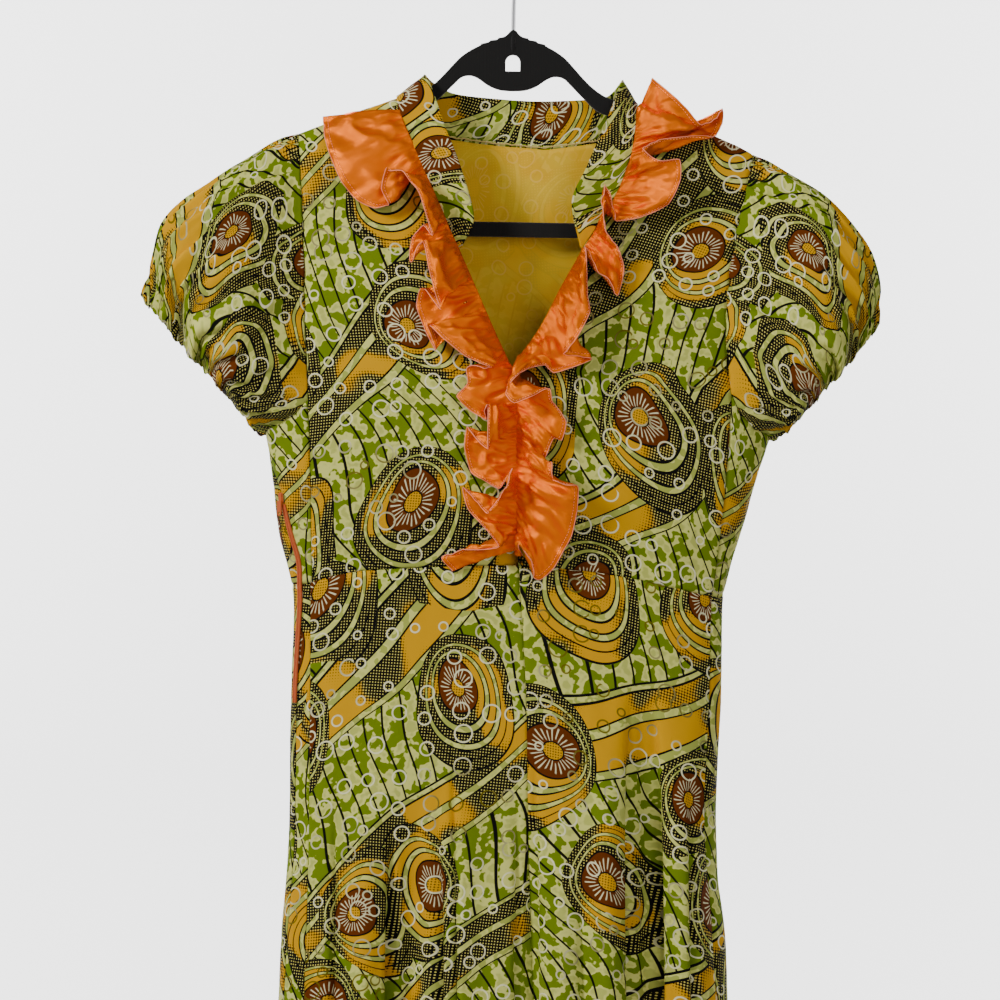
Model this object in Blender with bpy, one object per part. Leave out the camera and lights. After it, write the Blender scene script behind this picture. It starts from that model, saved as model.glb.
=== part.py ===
"""Short-sleeved wax print dress with satin ruffles, hanging on a flat hanger.

The frame is in metres, +Z up. The origin is the inner top of the hanger's hook. The dress faces
-Y and its zip side is at -X. Sizes in the tables are millimetres: heights are measured from the
origin, so they are negative, and depths are measured from the hanger's plane.

The dress's body is one surface, whose level sections are flattened rings. A place on it has an
angle, from 180 degrees at the -X edge through 90 at the front to 0 at the +X edge and on below 0
round the back, and a height. Each panel is the part of that surface between its own seams, given
a wall. Panels that meet share the same places along their seam.
"""
from collections import namedtuple
from math import acos, cos, exp, hypot, pi, radians, sin, sqrt

import bmesh
import bpy
from mathutils import Matrix, Vector

MM = 0.001

# ---------------------------------------------------------------- driving sizes (mm)
COTTON_WALL = 1.5
COLLAR_WALL = 2.0
SATIN_WALL = 1.0
LINING_WALL = 1.0
LINING_GAP = 1.2
SEAM_GAP = 0.3
HEM_HEIGHT = -1114.0
ROUNDNESS = 2.6            # exponent of the body's flattened sections, 2 being an ellipse
SHOULDER_ROUND = 36.0      # drop over which the cloth turns over the shoulder line
CLOTH_OVER_ARM = 3.8       # height of the shoulder line over the hanger's arms

HANGER_TILT = radians(0.9)
HANGER_THICKNESS = 6.0
HANGER_EDGE_ROUND = 1.4
WINDOW_WIDTH = 11.7
WINDOW_TOP = -101.0
WINDOW_FOOT = -114.0
HOOK_WIRE_RADIUS = 1.8
HOOK_INNER_RADIUS = 20.0
NUB_TOP = -81.0

ZIP_TOP = -461.0
ZIP_FOOT = -620.0
ZIP_WIDTH = 3.4
ZIP_THICKNESS = 1.2
ZIP_STAND_OFF = 0.8
SLIDER_HEIGHT = -456.2
SLIDER_SIZE = (4.6, 2.4, 9.0)      # along the cloth, out from it, up
PULL_SIZE = (4.2, 1.0, 12.0)
PULL_HOLE_RADIUS = 1.1
PULL_GAP = 0.4

RUFFLE_START_DROP = 9.0            # the sewn edge starts this far below the neck point
RUFFLE_CENTRE = {"left": -3.5, "right": 1.8}
RUFFLE_STAND_OFF = 1.9             # outer face's height over the dress at the sewn edge
RUFFLE_FOOT = -507.0
RUFFLE_ROUND = 2.4                 # power of the strip's rise off the dress
RUFFLE_OPEN_TURN = 0.27            # share of the way out at which the strip turns, outside its folds
RUFFLE_TURNS = (0.12, 0.42)        # least and greatest share at which it turns

BODICE_RISE_ROWS = 8               # rows of mesh from the waist to the princess seam's top
SHOULDER_COLUMNS = 5
BACK_COLUMNS = 19
SKIRT_COLUMNS = 4                  # for each column of the bodice's front
SKIRT_ROWS = 14
SKIRT_ROW_CROWD = 1.35
SLEEVE_COLUMNS = 48                # four for each gather
SLEEVE_ROWS = 8
HEAD_GATHER_DEPTH = 2.0
HEM_GATHER_DEPTH = 2.8

# ---------------------------------------------------------------- tables (mm)
Across = namedtuple("Across", "x height")
Down = namedtuple("Down", "height x")

# Half of the hanger in its own upright frame. The other half is its mirror.
ARM_TOP = (
    Across(0, -81), Across(6, -82), Across(16, -89.5), Across(34, -98), Across(47, -108.5),
    Across(57, -119.5), Across(65, -127), Across(74, -133), Across(84, -137), Across(94, -141.5),
    Across(134, -156.5), Across(174, -172.5), Across(191, -181), Across(203, -190), Across(210, -202),
)
ARM_END = (
    Across(211, -214), Across(208, -228), Across(201, -239), Across(190, -245.5), Across(176, -247),
    Across(0, -247),
)
ARM_INSIDE = (
    Across(0, -130), Across(10, -129.3), Across(19, -126), Across(28, -120), Across(34.5, -118),
    Across(41, -119.5), Across(47, -125), Across(57, -135), Across(68, -145), Across(84, -151),
    Across(134, -170), Across(172, -185.5), Across(187, -194), Across(195, -205), Across(197, -216),
    Across(194, -227), Across(186, -234), Across(172, -235), Across(0, -235),
)
NECK_RISE = (Across(0, -117), Across(50, -123), Across(80, -133))

Section = namedtuple("Section", "height left right front back")
SECTIONS = (
    Section(-110, 206, 210, 17, 16),
    Section(-170, 206, 210, 20, 18),
    Section(-235, 206, 210, 27, 20),
    Section(-310, 206, 210, 37, 25),
    Section(-380, 206, 210, 41, 28),
    Section(-406, 200, 205, 41, 29),
    Section(-442, 194, 193, 40, 29),
    Section(-482, 189, 182, 36, 27),
    Section(-518, 180, 171, 32, 25),
    Section(-540, 178, 166, 32, 26),
    Section(-618, 180, 164, 36, 30),
    Section(-710, 181, 160, 41, 34),
    Section(-755, 183, 161, 43, 36),
    Section(-802, 187, 167, 45, 38),
    Section(-858, 190, 170, 47, 40),
    Section(-1000, 197, 178, 51, 44),
    Section(-1114, 202, 184, 54, 47),
)

# The neck seam. In front each row is where one row of the bodice's mesh meets the V, from its
# point up to the neck point. The collar's band is sewn to the seam from COLLAR_START up.
V_FRONT = {
    "left": (Down(-353, -3.2), Down(-320, -18.3), Down(-288, -32.1), Down(-258, -45.1), Down(-230, -57.2),
             Down(-202, -69.4), Down(-174, -81.5), Down(-150, -91.6), Down(-140, -94), Down(-136.6, -94)),
    "right": (Down(-353, -3.2), Down(-320, 20.8), Down(-289, 36.8), Down(-259, 54), Down(-234, 69.5),
              Down(-207, 84.5), Down(-178, 94.2), Down(-156, 97.3), Down(-144.6, 97.6), Down(-141.2, 97.6)),
}
COLLAR_START = 3
NECK_BACK = (
    Across(-94, -136.6), Across(-92.8, -140.3), Across(-82, -151), Across(-53, -165), Across(-16, -170),
    Across(24, -173.5), Across(66, -168), Across(86, -157), Across(96.4, -145.3), Across(97.6, -141.2),
)
# The armhole from the shoulder tip to the underarm. ARMHOLE_NODES are the row numbers, and parts
# of rows, where the meshes of bodice and sleeve meet. The princess seam starts at one of them.
ARMHOLE = {
    "left": (Across(-174, -164.8), Across(-171.5, -199), Across(-169.5, -236), Across(-168.5, -273),
             Across(-168, -309), Across(-166.5, -345), Across(-165, -378), Across(-183, -393.5),
             Across(-200, -406)),
    "right": (Across(191, -181.9), Across(184, -212), Across(177, -243), Across(172, -272),
              Across(168.5, -300), Across(168, -330), Across(172, -372), Across(186, -396.5),
              Across(205, -410)),
}
ARMHOLE_NODES = (0, 0.05, 0.2, 0.6, 1.3, 2.2, 3.2, 4.2, 5.1, 6, 6.6, 7.3, 8)
PRINCESS_NODE = 9
PRINCESS_SEAM = {
    "left": (Down(-378, -165), Down(-440, -164), Down(-523, -163), Down(-700, -164), Down(-858, -168),
             Down(-1114, -178)),
    "right": (Down(-372, 172), Down(-406, 170.5), Down(-442, 168), Down(-482, 164), Down(-518, 160),
              Down(-540, 157), Down(-618, 155), Down(-710, 151), Down(-802, 157), Down(-858, 160),
              Down(-1114, 172)),
}
CENTRE_SEAM = (Down(-510, 3), Down(-618, 9), Down(-746, 11), Down(-858, 14), Down(-1114, 16))
WAIST_SEAM = (Across(-182, -526), Across(-163, -524), Across(-129, -515), Across(0, -510), Across(76, -517),
              Across(108, -524), Across(172, -538))
WAIST_SEAM_BACK = -526.0
LINING_TOP = (Across(-158, -202), Across(-122, -192), Across(-90, -182), Across(-53, -167.5),
              Across(-16, -172.5), Across(24, -176), Across(66, -170.5), Across(92, -186),
              Across(128, -200), Across(170, -222))
LINING_SIDE = {
    "left": (Down(-505, -168), Down(-440, -176), Down(-395, -172), Down(-350, -160), Down(-260, -160),
             Down(-202, -158)),
    "right": (Down(-505, 162), Down(-440, 178), Down(-395, 176), Down(-350, 162), Down(-280, 164),
              Down(-222, 170)),
}

Numbered = namedtuple("Numbered", "number x height")

# Degrees round the body where the zip's side seam and the plain side seam run.
SideSeams = namedtuple("SideSeams", "height left right")
SIDE_SEAMS = (
    SideSeams(-400, 180, 0),
    SideSeams(-410, 180, 0),
    SideSeams(-450, 164, -12),
    SideSeams(-500, 158, -17),
    SideSeams(-530, 161.5, -18),
    SideSeams(-620, 165, -17),
    SideSeams(-1114, 166, -16),
)

# A fold runs down the skirt from where it starts to the hem. Its depth is out of the cloth if
# positive, and into it if negative.
Fold = namedtuple("Fold", "x_top x_hem start half_width depth")
FRONT_FOLDS = (
    Fold(-150, -160, -560, 20, 5),
    Fold(-118, -128, -640, 20, 9),
    Fold(-80, -86, -660, 19, -17),
    Fold(-45, -46, -640, 22, 9),
    Fold(-12, -8, -700, 18, 6),
    Fold(11, 16, -640, 9, -9),
    Fold(38, 42, -650, 20, 8),
    Fold(72, 76, -600, 18, 11),
    Fold(102, 108, -570, 15, -21),
    Fold(134, 142, -620, 18, 8),
)
BACK_FOLDS = (
    Fold(-140, -150, -600, 24, 7),
    Fold(-104, -112, -620, 20, -13),
    Fold(-62, -66, -600, 24, 9),
    Fold(-20, -22, -640, 20, -14),
    Fold(22, 24, -600, 24, 9),
    Fold(64, 70, -620, 20, -13),
    Fold(104, 112, -600, 24, 9),
    Fold(138, 148, -640, 16, -7),
)

# Sleeve rings from the armhole (0) to the hem (1): the ring's top and underarm points, its depths
# in front and behind, and how far its middle bows away from the body.
Ring = namedtuple("Ring", "along top_x top_height under_x under_height front back bow")
SLEEVE_RINGS = {
    "left": (
        Ring(0.00, -174, -164.8, -200, -406, 34, 24, -18),
        Ring(0.15, -195, -172, -205, -403, 43, 31, -12),
        Ring(0.30, -219, -187, -209, -400, 50, 37, -7),
        Ring(0.45, -244, -203, -212, -397, 54, 41, -2),
        Ring(0.60, -267, -220, -214, -394, 54, 42, 2),
        Ring(0.75, -283, -240, -216, -391, 49, 39, 5),
        Ring(0.88, -290, -272, -218, -388, 39, 31, 5),
        Ring(1.00, -297, -298, -220, -385, 33, 26, 2),
    ),
    "right": (
        Ring(0.00, 191, -181.9, 205, -410, 34, 24, -18),
        Ring(0.15, 212, -192, 210, -407, 43, 31, -12),
        Ring(0.30, 236, -206, 214, -404, 50, 37, -7),
        Ring(0.45, 257, -222, 217, -401.5, 54, 41, -2),
        Ring(0.60, 272, -241, 220, -399, 54, 42, 2),
        Ring(0.75, 286, -265, 222, -397, 49, 39, 4),
        Ring(0.88, 291, -294, 224, -395, 39, 31, 4),
        Ring(1.00, 289, -321, 226, -393, 33, 26, 2),
    ),
}

# The collar's free edge over each place of the neck seam: up the left of the V, across the back,
# and down the right.
Free = namedtuple("Free", "number x depth height")
COLLAR_FREE_EDGE = (
    Free(0, -42.0, -31, -256.0),
    Free(1, -32.5, -29.5, -233.0),
    Free(2, -43.5, -25, -191.0),
    Free(3, -55.0, -19, -161.0),
    Free(4, -62.5, -13.5, -139.0),
    Free(5, -68.5, -7, -122.5),
    Free(6, -71.0, 0, -117.5),
    Free(7, -69.0, 6, -119.5),
    Free(8, -62.0, 10, -125.0),
    Free(9, -48.0, 13.5, -131.0),
    Free(10, -20.0, 15, -134.5),
    Free(11, 20.0, 15, -137.0),
    Free(12, 55.0, 13, -136.0),
    Free(13, 73.0, 10, -134.0),
    Free(14, 82.0, 6, -126.0),
    Free(15, 85.0, 0, -121.5),
    Free(16, 82.0, -8, -130.0),
    Free(17, 76.0, -14.5, -147.0),
    Free(18, 66.5, -20, -170.0),
    Free(19, 56.5, -25, -193.0),
    Free(20, 45.0, -29, -222.0),
    Free(21, 51.5, -31, -256.0),
)

# The free edge of each ruffle: where the strip is sewn that far along the seam, the free edge
# is at this x and height, and lifts this far off the dress. It doubles back in folds, from a low
# layer up to a high one and down again.
Wave = namedtuple("Wave", "along x height lift")
RUFFLE_EDGE = {
    "left": (
        Wave(0, -153.6, -150.6, 9),
        Wave(9, -152.8, -165.0, 10),
        Wave(18, -146.4, -185.8, 11),
        Wave(28, -137.6, -205.0, 11),
        Wave(37, -125.6, -219.4, 10),
        Wave(45, -111.2, -225.8, 10),
        Wave(50, -100.8, -223.4, 12),
        Wave(56, -106.4, -209.8, 17),
        Wave(61, -101.6, -193.0, 22),
        Wave(69, -88.8, -198.6, 26),
        Wave(78, -76.8, -213.0, 28),
        Wave(86, -71.2, -229.0, 28),
        Wave(95, -65.6, -248.2, 23),
        Wave(100, -72.8, -240.2, 15),
        Wave(104, -81.6, -249.0, 9),
        Wave(109, -84.0, -267.4, 11),
        Wave(112, -78.4, -259.4, 17),
        Wave(115, -72.8, -252.2, 22),
        Wave(126, -68.0, -275.4, 25),
        Wave(134, -64.0, -291.4, 26),
        Wave(143, -58.4, -307.4, 23),
        Wave(148, -66.4, -297.8, 16),
        Wave(153, -74.4, -288.2, 10),
        Wave(158, -78.4, -303.4, 8),
        Wave(164, -71.2, -323.4, 7),
        Wave(171, -62.4, -340.2, 12),
        Wave(175, -66.4, -328.2, 17),
        Wave(180, -70.4, -316.2, 23),
        Wave(189, -56.8, -329.8, 28),
        Wave(200, -39.2, -344.2, 25),
        Wave(213, -19.2, -353.0, 21),
        Wave(218, -29.6, -353.0, 16),
        Wave(223, -38.4, -354.6, 12),
        Wave(229, -37.6, -365.0, 10),
        Wave(236, -46.4, -375.4, 11),
        Wave(244, -36.0, -386.6, 10),
        Wave(252, -23.2, -393.8, 13),
        Wave(256, -24.8, -386.6, 17),
        Wave(260, -21.6, -381.0, 21),
        Wave(266, -21.6, -398.6, 25),
        Wave(273, -22.4, -416.2, 21),
        Wave(278, -31.2, -409.0, 16),
        Wave(282, -38.4, -401.0, 12),
        Wave(288, -40.0, -416.2, 10),
        Wave(295, -35.2, -435.4, 10),
        Wave(302, -24.0, -442.6, 11),
        Wave(308, -13.6, -448.2, 13),
        Wave(312, -7.2, -440.2, 17),
        Wave(316, -1.6, -433.0, 22),
        Wave(321, -7.2, -447.4, 25),
        Wave(327, -20.8, -469.0, 21),
        Wave(331, -30.4, -458.6, 16),
        Wave(335, -41.6, -448.2, 12),
        Wave(341, -37.6, -464.2, 13),
        Wave(349, -22.4, -481.8, 17),
        Wave(354, -12.8, -495.4, 17),
        Wave(360, -34.4, -498.6, 12),
        Wave(366, -58.4, -503.4, 7),
        Wave(371, -49.6, -514.6, 6),
    ),
    "right": (
        Wave(0, 109.6, -121.0, 18),
        Wave(8, 122.4, -132.2, 22),
        Wave(15, 136.0, -145.0, 27),
        Wave(21, 148.0, -158.6, 23),
        Wave(26, 160.0, -155.4, 15),
        Wave(30, 166.4, -145.8, 9),
        Wave(32, 165.6, -157.0, 9),
        Wave(35, 159.2, -167.4, 10),
        Wave(38, 140.0, -167.4, 14),
        Wave(41, 116.0, -171.4, 20),
        Wave(44, 101.6, -179.4, 26),
        Wave(49, 112.8, -188.2, 26),
        Wave(54, 130.4, -187.4, 24),
        Wave(60, 131.2, -203.4, 22),
        Wave(67, 121.6, -223.4, 18),
        Wave(75, 100.0, -233.0, 13),
        Wave(81, 81.6, -235.4, 12),
        Wave(85, 76.8, -221.8, 17),
        Wave(89, 71.2, -207.4, 22),
        Wave(94, 69.6, -225.8, 22),
        Wave(99, 72.0, -244.2, 18),
        Wave(104, 83.2, -261.0, 12),
        Wave(108, 86.4, -275.4, 10),
        Wave(112, 81.6, -295.4, 11),
        Wave(116, 71.2, -282.6, 17),
        Wave(120, 61.6, -267.4, 22),
        Wave(125, 56.0, -257.8, 26),
        Wave(132, 56.8, -275.4, 27),
        Wave(139, 56.8, -294.6, 25),
        Wave(147, 59.2, -309.0, 24),
        Wave(155, 50.4, -326.6, 24),
        Wave(161, 40.8, -341.8, 21),
        Wave(167, 49.6, -343.4, 16),
        Wave(172, 60.0, -346.6, 12),
        Wave(182, 44.0, -353.0, 10),
        Wave(192, 30.4, -357.0, 10),
        Wave(202, 20.0, -353.8, 11),
        Wave(208, 18.4, -354.6, 14),
        Wave(216, 13.6, -359.4, 16),
        Wave(225, 12.8, -365.8, 19),
        Wave(234, 18.4, -371.4, 22),
        Wave(244, 28.0, -374.6, 24),
        Wave(252, 36.8, -382.6, 19),
        Wave(258, 40.8, -395.4, 15),
        Wave(262, 38.4, -409.0, 12),
        Wave(266, 30.4, -414.6, 8),
        Wave(272, 20.8, -430.6, 10),
        Wave(279, 24.8, -427.4, 17),
        Wave(286, 29.6, -425.0, 24),
        Wave(293, 32.8, -440.2, 28),
        Wave(298, 40.0, -448.2, 25),
        Wave(305, 49.6, -454.6, 23),
        Wave(312, 49.6, -464.2, 20),
        Wave(322, 45.6, -482.6, 17),
        Wave(334, 38.4, -497.0, 15),
        Wave(346, 29.6, -512.2, 14),
        Wave(356, 18.4, -521.0, 14),
        Wave(366, 12.0, -512.2, 17),
        Wave(376, 7.2, -502.6, 17),
    ),
}
SIDES = ("left", "right")


# ---------------------------------------------------------------- reading the tables
class Curve:
    """Smooth curve through one column of a table, against another column."""

    def __init__(self, rows, key, column):
        rows = sorted(rows, key=lambda row: getattr(row, key))
        self.spots = [getattr(row, key) for row in rows]
        self.values = [getattr(row, column) for row in rows]
        self.slopes = [self.slope(number) for number in range(len(rows))]

    def slope(self, number):
        """Slope at one row: level where the values turn back, so that nothing overshoots."""
        steps = []
        for start in (number - 1, number):
            if 0 <= start < len(self.spots) - 1:
                rise = self.values[start + 1] - self.values[start]
                steps.append(rise / (self.spots[start + 1] - self.spots[start]))
        if len(steps) == 1:
            return steps[0]
        before, after = steps
        return 2.0 * before * after / (before + after) if before * after > 0 else 0.0

    def __call__(self, spot):
        spots = self.spots
        spot = min(max(spot, spots[0]), spots[-1])
        number = 0
        while number < len(spots) - 2 and spot > spots[number + 1]:
            number += 1
        span = spots[number + 1] - spots[number]
        share = (spot - spots[number]) / span
        square = share * share
        cube = square * share
        return ((2 * cube - 3 * square + 1) * self.values[number]
                + (cube - 2 * square + share) * span * self.slopes[number]
                + (3 * square - 2 * cube) * self.values[number + 1]
                + (cube - square) * span * self.slopes[number + 1])


def ease(share):
    """0 to 1 with level ends."""
    share = min(max(share, 0.0), 1.0)
    return share * share * (3.0 - 2.0 * share)


def mix(start, end, share):
    return start + (end - start) * share


def signed_power(value, power):
    return abs(value) ** power * (1.0 if value >= 0.0 else -1.0)


def shares(count, crowd=1.0):
    """Shares from 0 to 1. A crowd over 1 sets them closer at the start."""
    return [(number / count) ** crowd for number in range(count + 1)]


OVER_ARMS = tuple(Across(row.x, row.height + CLOTH_OVER_ARM) for row in ARM_TOP if row.x > 90)
SHOULDER = Curve(NECK_RISE + OVER_ARMS, "x", "height")
HALF_WIDTH = {side: Curve(SECTIONS, "height", side) for side in SIDES}
DEPTH = {face: Curve(SECTIONS, "height", face) for face in ("front", "back")}
PRINCESS = {side: Curve(PRINCESS_SEAM[side], "height", "x") for side in SIDES}
SIDE_ANGLE = {side: Curve(SIDE_SEAMS, "height", side) for side in SIDES}
V_EDGE = {side: Curve(V_FRONT[side], "height", "x") for side in SIDES}
CENTRE = Curve(CENTRE_SEAM, "height", "x")
WAIST = Curve(WAIST_SEAM, "x", "height")


# ---------------------------------------------------------------- the body's surface
def shoulder_height(x):
    """Height of the shoulder line, which follows the hanger's tilted arms."""
    upright = x + 160.0 * sin(HANGER_TILT)
    return SHOULDER(abs(upright)) - upright * sin(HANGER_TILT)


def angle_at(x, height):
    """Angle of the front point with this x. The back point has the opposite angle."""
    half = HALF_WIDTH["left" if x < 0 else "right"](height)
    return acos(signed_power(max(-1.0, min(1.0, x / half)), ROUNDNESS / 2.0))


def folds_at(x, height, folds):
    """Sum of the folds' depths at a place on the skirt."""
    total = 0.0
    for fold in folds:
        if height < fold.start:
            down = (height - fold.start) / (HEM_HEIGHT - fold.start)
            offset = (x - mix(fold.x_top, fold.x_hem, down)) / fold.half_width
            total += fold.depth * ease(down * 1.6) * exp(-1.6 * offset * offset)
    return total


def body_point(angle, height, over=None):
    """Point of the dress's outer surface. Where over is given, it is the turn of the cloth over the
    shoulder, 0 on its line and a quarter turn where it hangs straight, and sets the height."""
    across = signed_power(cos(angle), 2.0 / ROUNDNESS)
    x = across * HALF_WIDTH["left" if across < 0 else "right"](height)
    shoulder = shoulder_height(x)
    if over is None:
        drop = min(max(0.0, shoulder - height), SHOULDER_ROUND)
        rounding = sqrt(1.0 - (1.0 - drop / SHOULDER_ROUND) ** 2)
    else:
        rounding = sin(over)
        height = shoulder - SHOULDER_ROUND * (1.0 - cos(over))
    face, folds, way = ("front", FRONT_FOLDS, -1.0) if sin(angle) >= 0 else ("back", BACK_FOLDS, 1.0)
    depth = DEPTH[face](height) * rounding * abs(sin(angle)) ** (2.0 / ROUNDNESS)
    depth += folds_at(x, height, folds) * ease(abs(sin(angle)) * 1.6)
    return Vector((x, way * depth, height))


def body_normal(angle, height):
    """Outward normal of the dress's surface."""
    step = 0.004
    x = body_point(angle, height).x
    drop = max(0.0, shoulder_height(x) - height)
    if drop < SHOULDER_ROUND:
        over = acos(1.0 - drop / SHOULDER_ROUND)
        around = body_point(angle + step, height, over) - body_point(angle - step, height, over)
        down = body_point(angle, height, over + step) - body_point(angle, height, over - step)
    else:
        around = body_point(angle + step, height) - body_point(angle - step, height)
        down = body_point(angle, height - 0.4) - body_point(angle, height + 0.4)
    return around.cross(down).normalized()


def front_depth(x, height):
    return -body_point(angle_at(x, height), height).y


# ---------------------------------------------------------------- seams, as places (angle, height)
def on_front(place):
    return Vector((angle_at(place.x, place.height), place.height))


def on_back(place):
    return Vector((-angle_at(place.x, place.height), place.height))


def armhole_nodes(side):
    """Where bodice and sleeve meet, from the shoulder tip to the underarm."""
    numbered = [Numbered(number, row.x, row.height) for number, row in enumerate(ARMHOLE[side])]
    xs = Curve(numbered, "number", "x")
    heights = Curve(numbered, "number", "height")
    nodes = [Across(xs(number), heights(number)) for number in ARMHOLE_NODES]
    nodes[0] = Across(nodes[0].x, shoulder_height(nodes[0].x))
    return nodes


def waist_place(angle):
    """Place on the waist seam at an angle."""
    x = body_point(angle, WAIST_SEAM_BACK).x
    return Vector((angle, mix(WAIST_SEAM_BACK, WAIST(x), ease(sin(angle) * 2.0 + 0.6))))


def waist_corner(seam_angle):
    """Place where a seam meets the waist: seam_angle gives its angle at a height."""
    place = waist_place(seam_angle(WAIST_SEAM_BACK))
    return waist_place(seam_angle(place.y))


def princess_angle(side, sewn=None):
    """Angle of the princess seam at a height, or of the line behind it on the back."""
    way = -1.0 if sewn is on_back else 1.0
    return lambda height: way * angle_at(PRINCESS[side](height), height)


def side_seam_angle(side, from_back=False):
    """Angle of a side seam. From the back, the zip's seam is the other way round."""
    turn = 2.0 * pi if side == "left" and from_back else 0.0
    return lambda height: radians(SIDE_ANGLE[side](height)) - turn


def centre_angle(height):
    return angle_at(CENTRE(height), height)


def seam_down(seam_angle, start, end, count):
    """Places down or up a seam between two heights."""
    heights = [mix(start, end, share) for share in shares(count)]
    return [Vector((seam_angle(height), height)) for height in heights]


def seam_place(seam_angle, waist, down):
    """Place a share of the way down a skirt's seam."""
    height = mix(waist, HEM_HEIGHT, down)
    return Vector((seam_angle(height), height))


def shoulder_places(side, back=False):
    """Places on the shoulder line from the tip to the neck point."""
    tip = ARMHOLE[side][0].x
    neck = V_FRONT[side][-1].x
    spots = [mix(tip, neck, share) for share in shares(SHOULDER_COLUMNS)]
    sewn = on_back if back else on_front
    return [sewn(Across(x, shoulder_height(x))) for x in spots]


def waist_between(start_angle, end_angle, count):
    return [waist_place(mix(start_angle, end_angle, share)) for share in shares(count)]


# ---------------------------------------------------------------- patches between four edges
def through(places):
    """Edge from 0 to 1 through evenly counted places, straight between them."""
    def edge(share):
        position = share * (len(places) - 1)
        number = min(int(position + 1e-9), len(places) - 2)
        return places[number].lerp(places[number + 1], position - number)
    return edge


def patch(foot, top, start, end):
    """Surface between four edges: foot and top run across, start and end run up."""
    def place(across, up):
        corners = (start(0.0).lerp(end(0.0), across)).lerp(start(1.0).lerp(end(1.0), across), up)
        return start(up).lerp(end(up), across) + foot(across).lerp(top(across), up) - corners
    return place


# ---------------------------------------------------------------- making solids
COLLECTION = "Dress on hanger"
Finish = namedtuple("Finish", "name colour roughness metallic")
FINISHES = {finish.name: finish for finish in (
    Finish("wax_print", (0.42, 0.44, 0.10, 1.0), 0.75, 0.0),
    Finish("satin", (0.96, 0.30, 0.03, 1.0), 0.35, 0.0),
    Finish("voile", (0.62, 0.36, 0.03, 1.0), 0.8, 0.0),
    Finish("flocked_hanger", (0.010, 0.010, 0.010, 1.0), 0.9, 0.0),
    Finish("steel", (0.6, 0.6, 0.6, 1.0), 0.3, 1.0),
    Finish("zip_tape", (0.75, 0.20, 0.05, 1.0), 0.6, 0.0),
    Finish("zip_metal", (0.70, 0.20, 0.05, 1.0), 0.4, 0.0),
)}


def material(name):
    made = bpy.data.materials.get(name)
    if made is None:
        finish = FINISHES[name]
        made = bpy.data.materials.new(name)
        made.use_nodes = True
        made.diffuse_color = finish.colour
        surface = made.node_tree.nodes["Principled BSDF"]
        surface.inputs["Base Color"].default_value = finish.colour
        surface.inputs["Roughness"].default_value = finish.roughness
        surface.inputs["Metallic"].default_value = finish.metallic
    return made


def add_object(name, mesh, finish):
    piece = bpy.data.objects.new(name, mesh)
    mesh.materials.append(material(finish))
    bpy.data.collections[COLLECTION].objects.link(piece)
    return piece


def add_shape(name, shape, finish):
    """Object from a bmesh in millimetres."""
    bmesh.ops.scale(shape, vec=(MM, MM, MM), verts=shape.verts)
    bmesh.ops.recalc_face_normals(shape, faces=shape.faces)
    mesh = bpy.data.meshes.new(name)
    shape.to_mesh(mesh)
    shape.free()
    mesh.shade_smooth()
    mesh.set_sharp_from_angle(angle=radians(50))
    return add_object(name, mesh, finish)


class Sheet:
    """Cloth as pairs of points, outer and inner, and the faces between them."""

    def __init__(self):
        self.points = []
        self.faces = []
        self.numbers = {}

    def number(self, outer, inner):
        """Number of a pair of points. Pairs at the same place are one."""
        key = tuple(round(value, 2) for value in outer)
        if key not in self.numbers:
            self.numbers[key] = len(self.points)
            self.points.append([outer.copy(), inner.copy()])
        return self.numbers[key]

    def add_grid(self, outer, inner):
        rows = [[self.number(*pair) for pair in zip(*layers)] for layers in zip(outer, inner)]
        for row, above in zip(rows, rows[1:]):
            for column in range(len(row) - 1):
                self.faces.append((row[column], row[column + 1], above[column + 1], above[column]))

    def edges_of_sheet(self):
        """Edges used by one face only, each with the number of its face."""
        used = {}
        for number, face in enumerate(self.faces):
            for start, end in zip(face, face[1:] + face[:1]):
                used.setdefault(frozenset((start, end)), []).append((start, end, number))
        return [users[0] for users in used.values() if len(users) == 1]

    def draw_in(self, distance):
        """Moves the sheet's edges inwards, so that it stays clear of its neighbours."""
        ways = {}
        for start, end, number in self.edges_of_sheet():
            line = (self.points[end][0] - self.points[start][0]).normalized()
            middle = (self.points[start][0] + self.points[end][0]) / 2.0
            centre = sum((self.points[corner][0] for corner in self.faces[number]), Vector()) / 4.0
            way = centre - middle
            way = (way - line * way.dot(line)).normalized()
            ways.setdefault(start, []).append(way)
            ways.setdefault(end, []).append(way)
        for corner, pair in ways.items():
            move = pair[0] * distance
            if len(pair) == 2:
                move = (pair[0] + pair[1]) * distance / max(0.35, 1.0 + pair[0].dot(pair[1]))
            self.points[corner] = [point + move for point in self.points[corner]]

    def build(self, name, finish, split=False):
        """Closed wall: both layers, and a rim round every edge. Where the cloth folds back on
        itself, split cuts each face along its shorter diagonal."""
        shape = bmesh.new()
        layers = [[shape.verts.new(pair[layer]) for pair in self.points] for layer in (0, 1)]
        for face in self.faces:
            shape.faces.new([layers[0][corner] for corner in face])
            shape.faces.new([layers[1][corner] for corner in reversed(face)])
        for start, end, _ in self.edges_of_sheet():
            shape.faces.new((layers[0][end], layers[0][start], layers[1][start], layers[1][end]))
        if split:
            bmesh.ops.triangulate(shape, faces=shape.faces, quad_method="SHORT_EDGE")
        return add_shape(name, shape, finish)


def body_grid(place, across, up, sink=0.0, thickness=COTTON_WALL):
    """Outer and inner points of a panel of the body: place gives the angle and height at shares."""
    outer = []
    inner = []
    for up_share in up:
        places = [place(across_share, up_share) for across_share in across]
        normals = [body_normal(angle, height) for angle, height in places]
        points = [body_point(*spot) - normal * sink for spot, normal in zip(places, normals)]
        outer.append(points)
        inner.append([point - normal * thickness for point, normal in zip(points, normals)])
    return outer, inner


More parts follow.
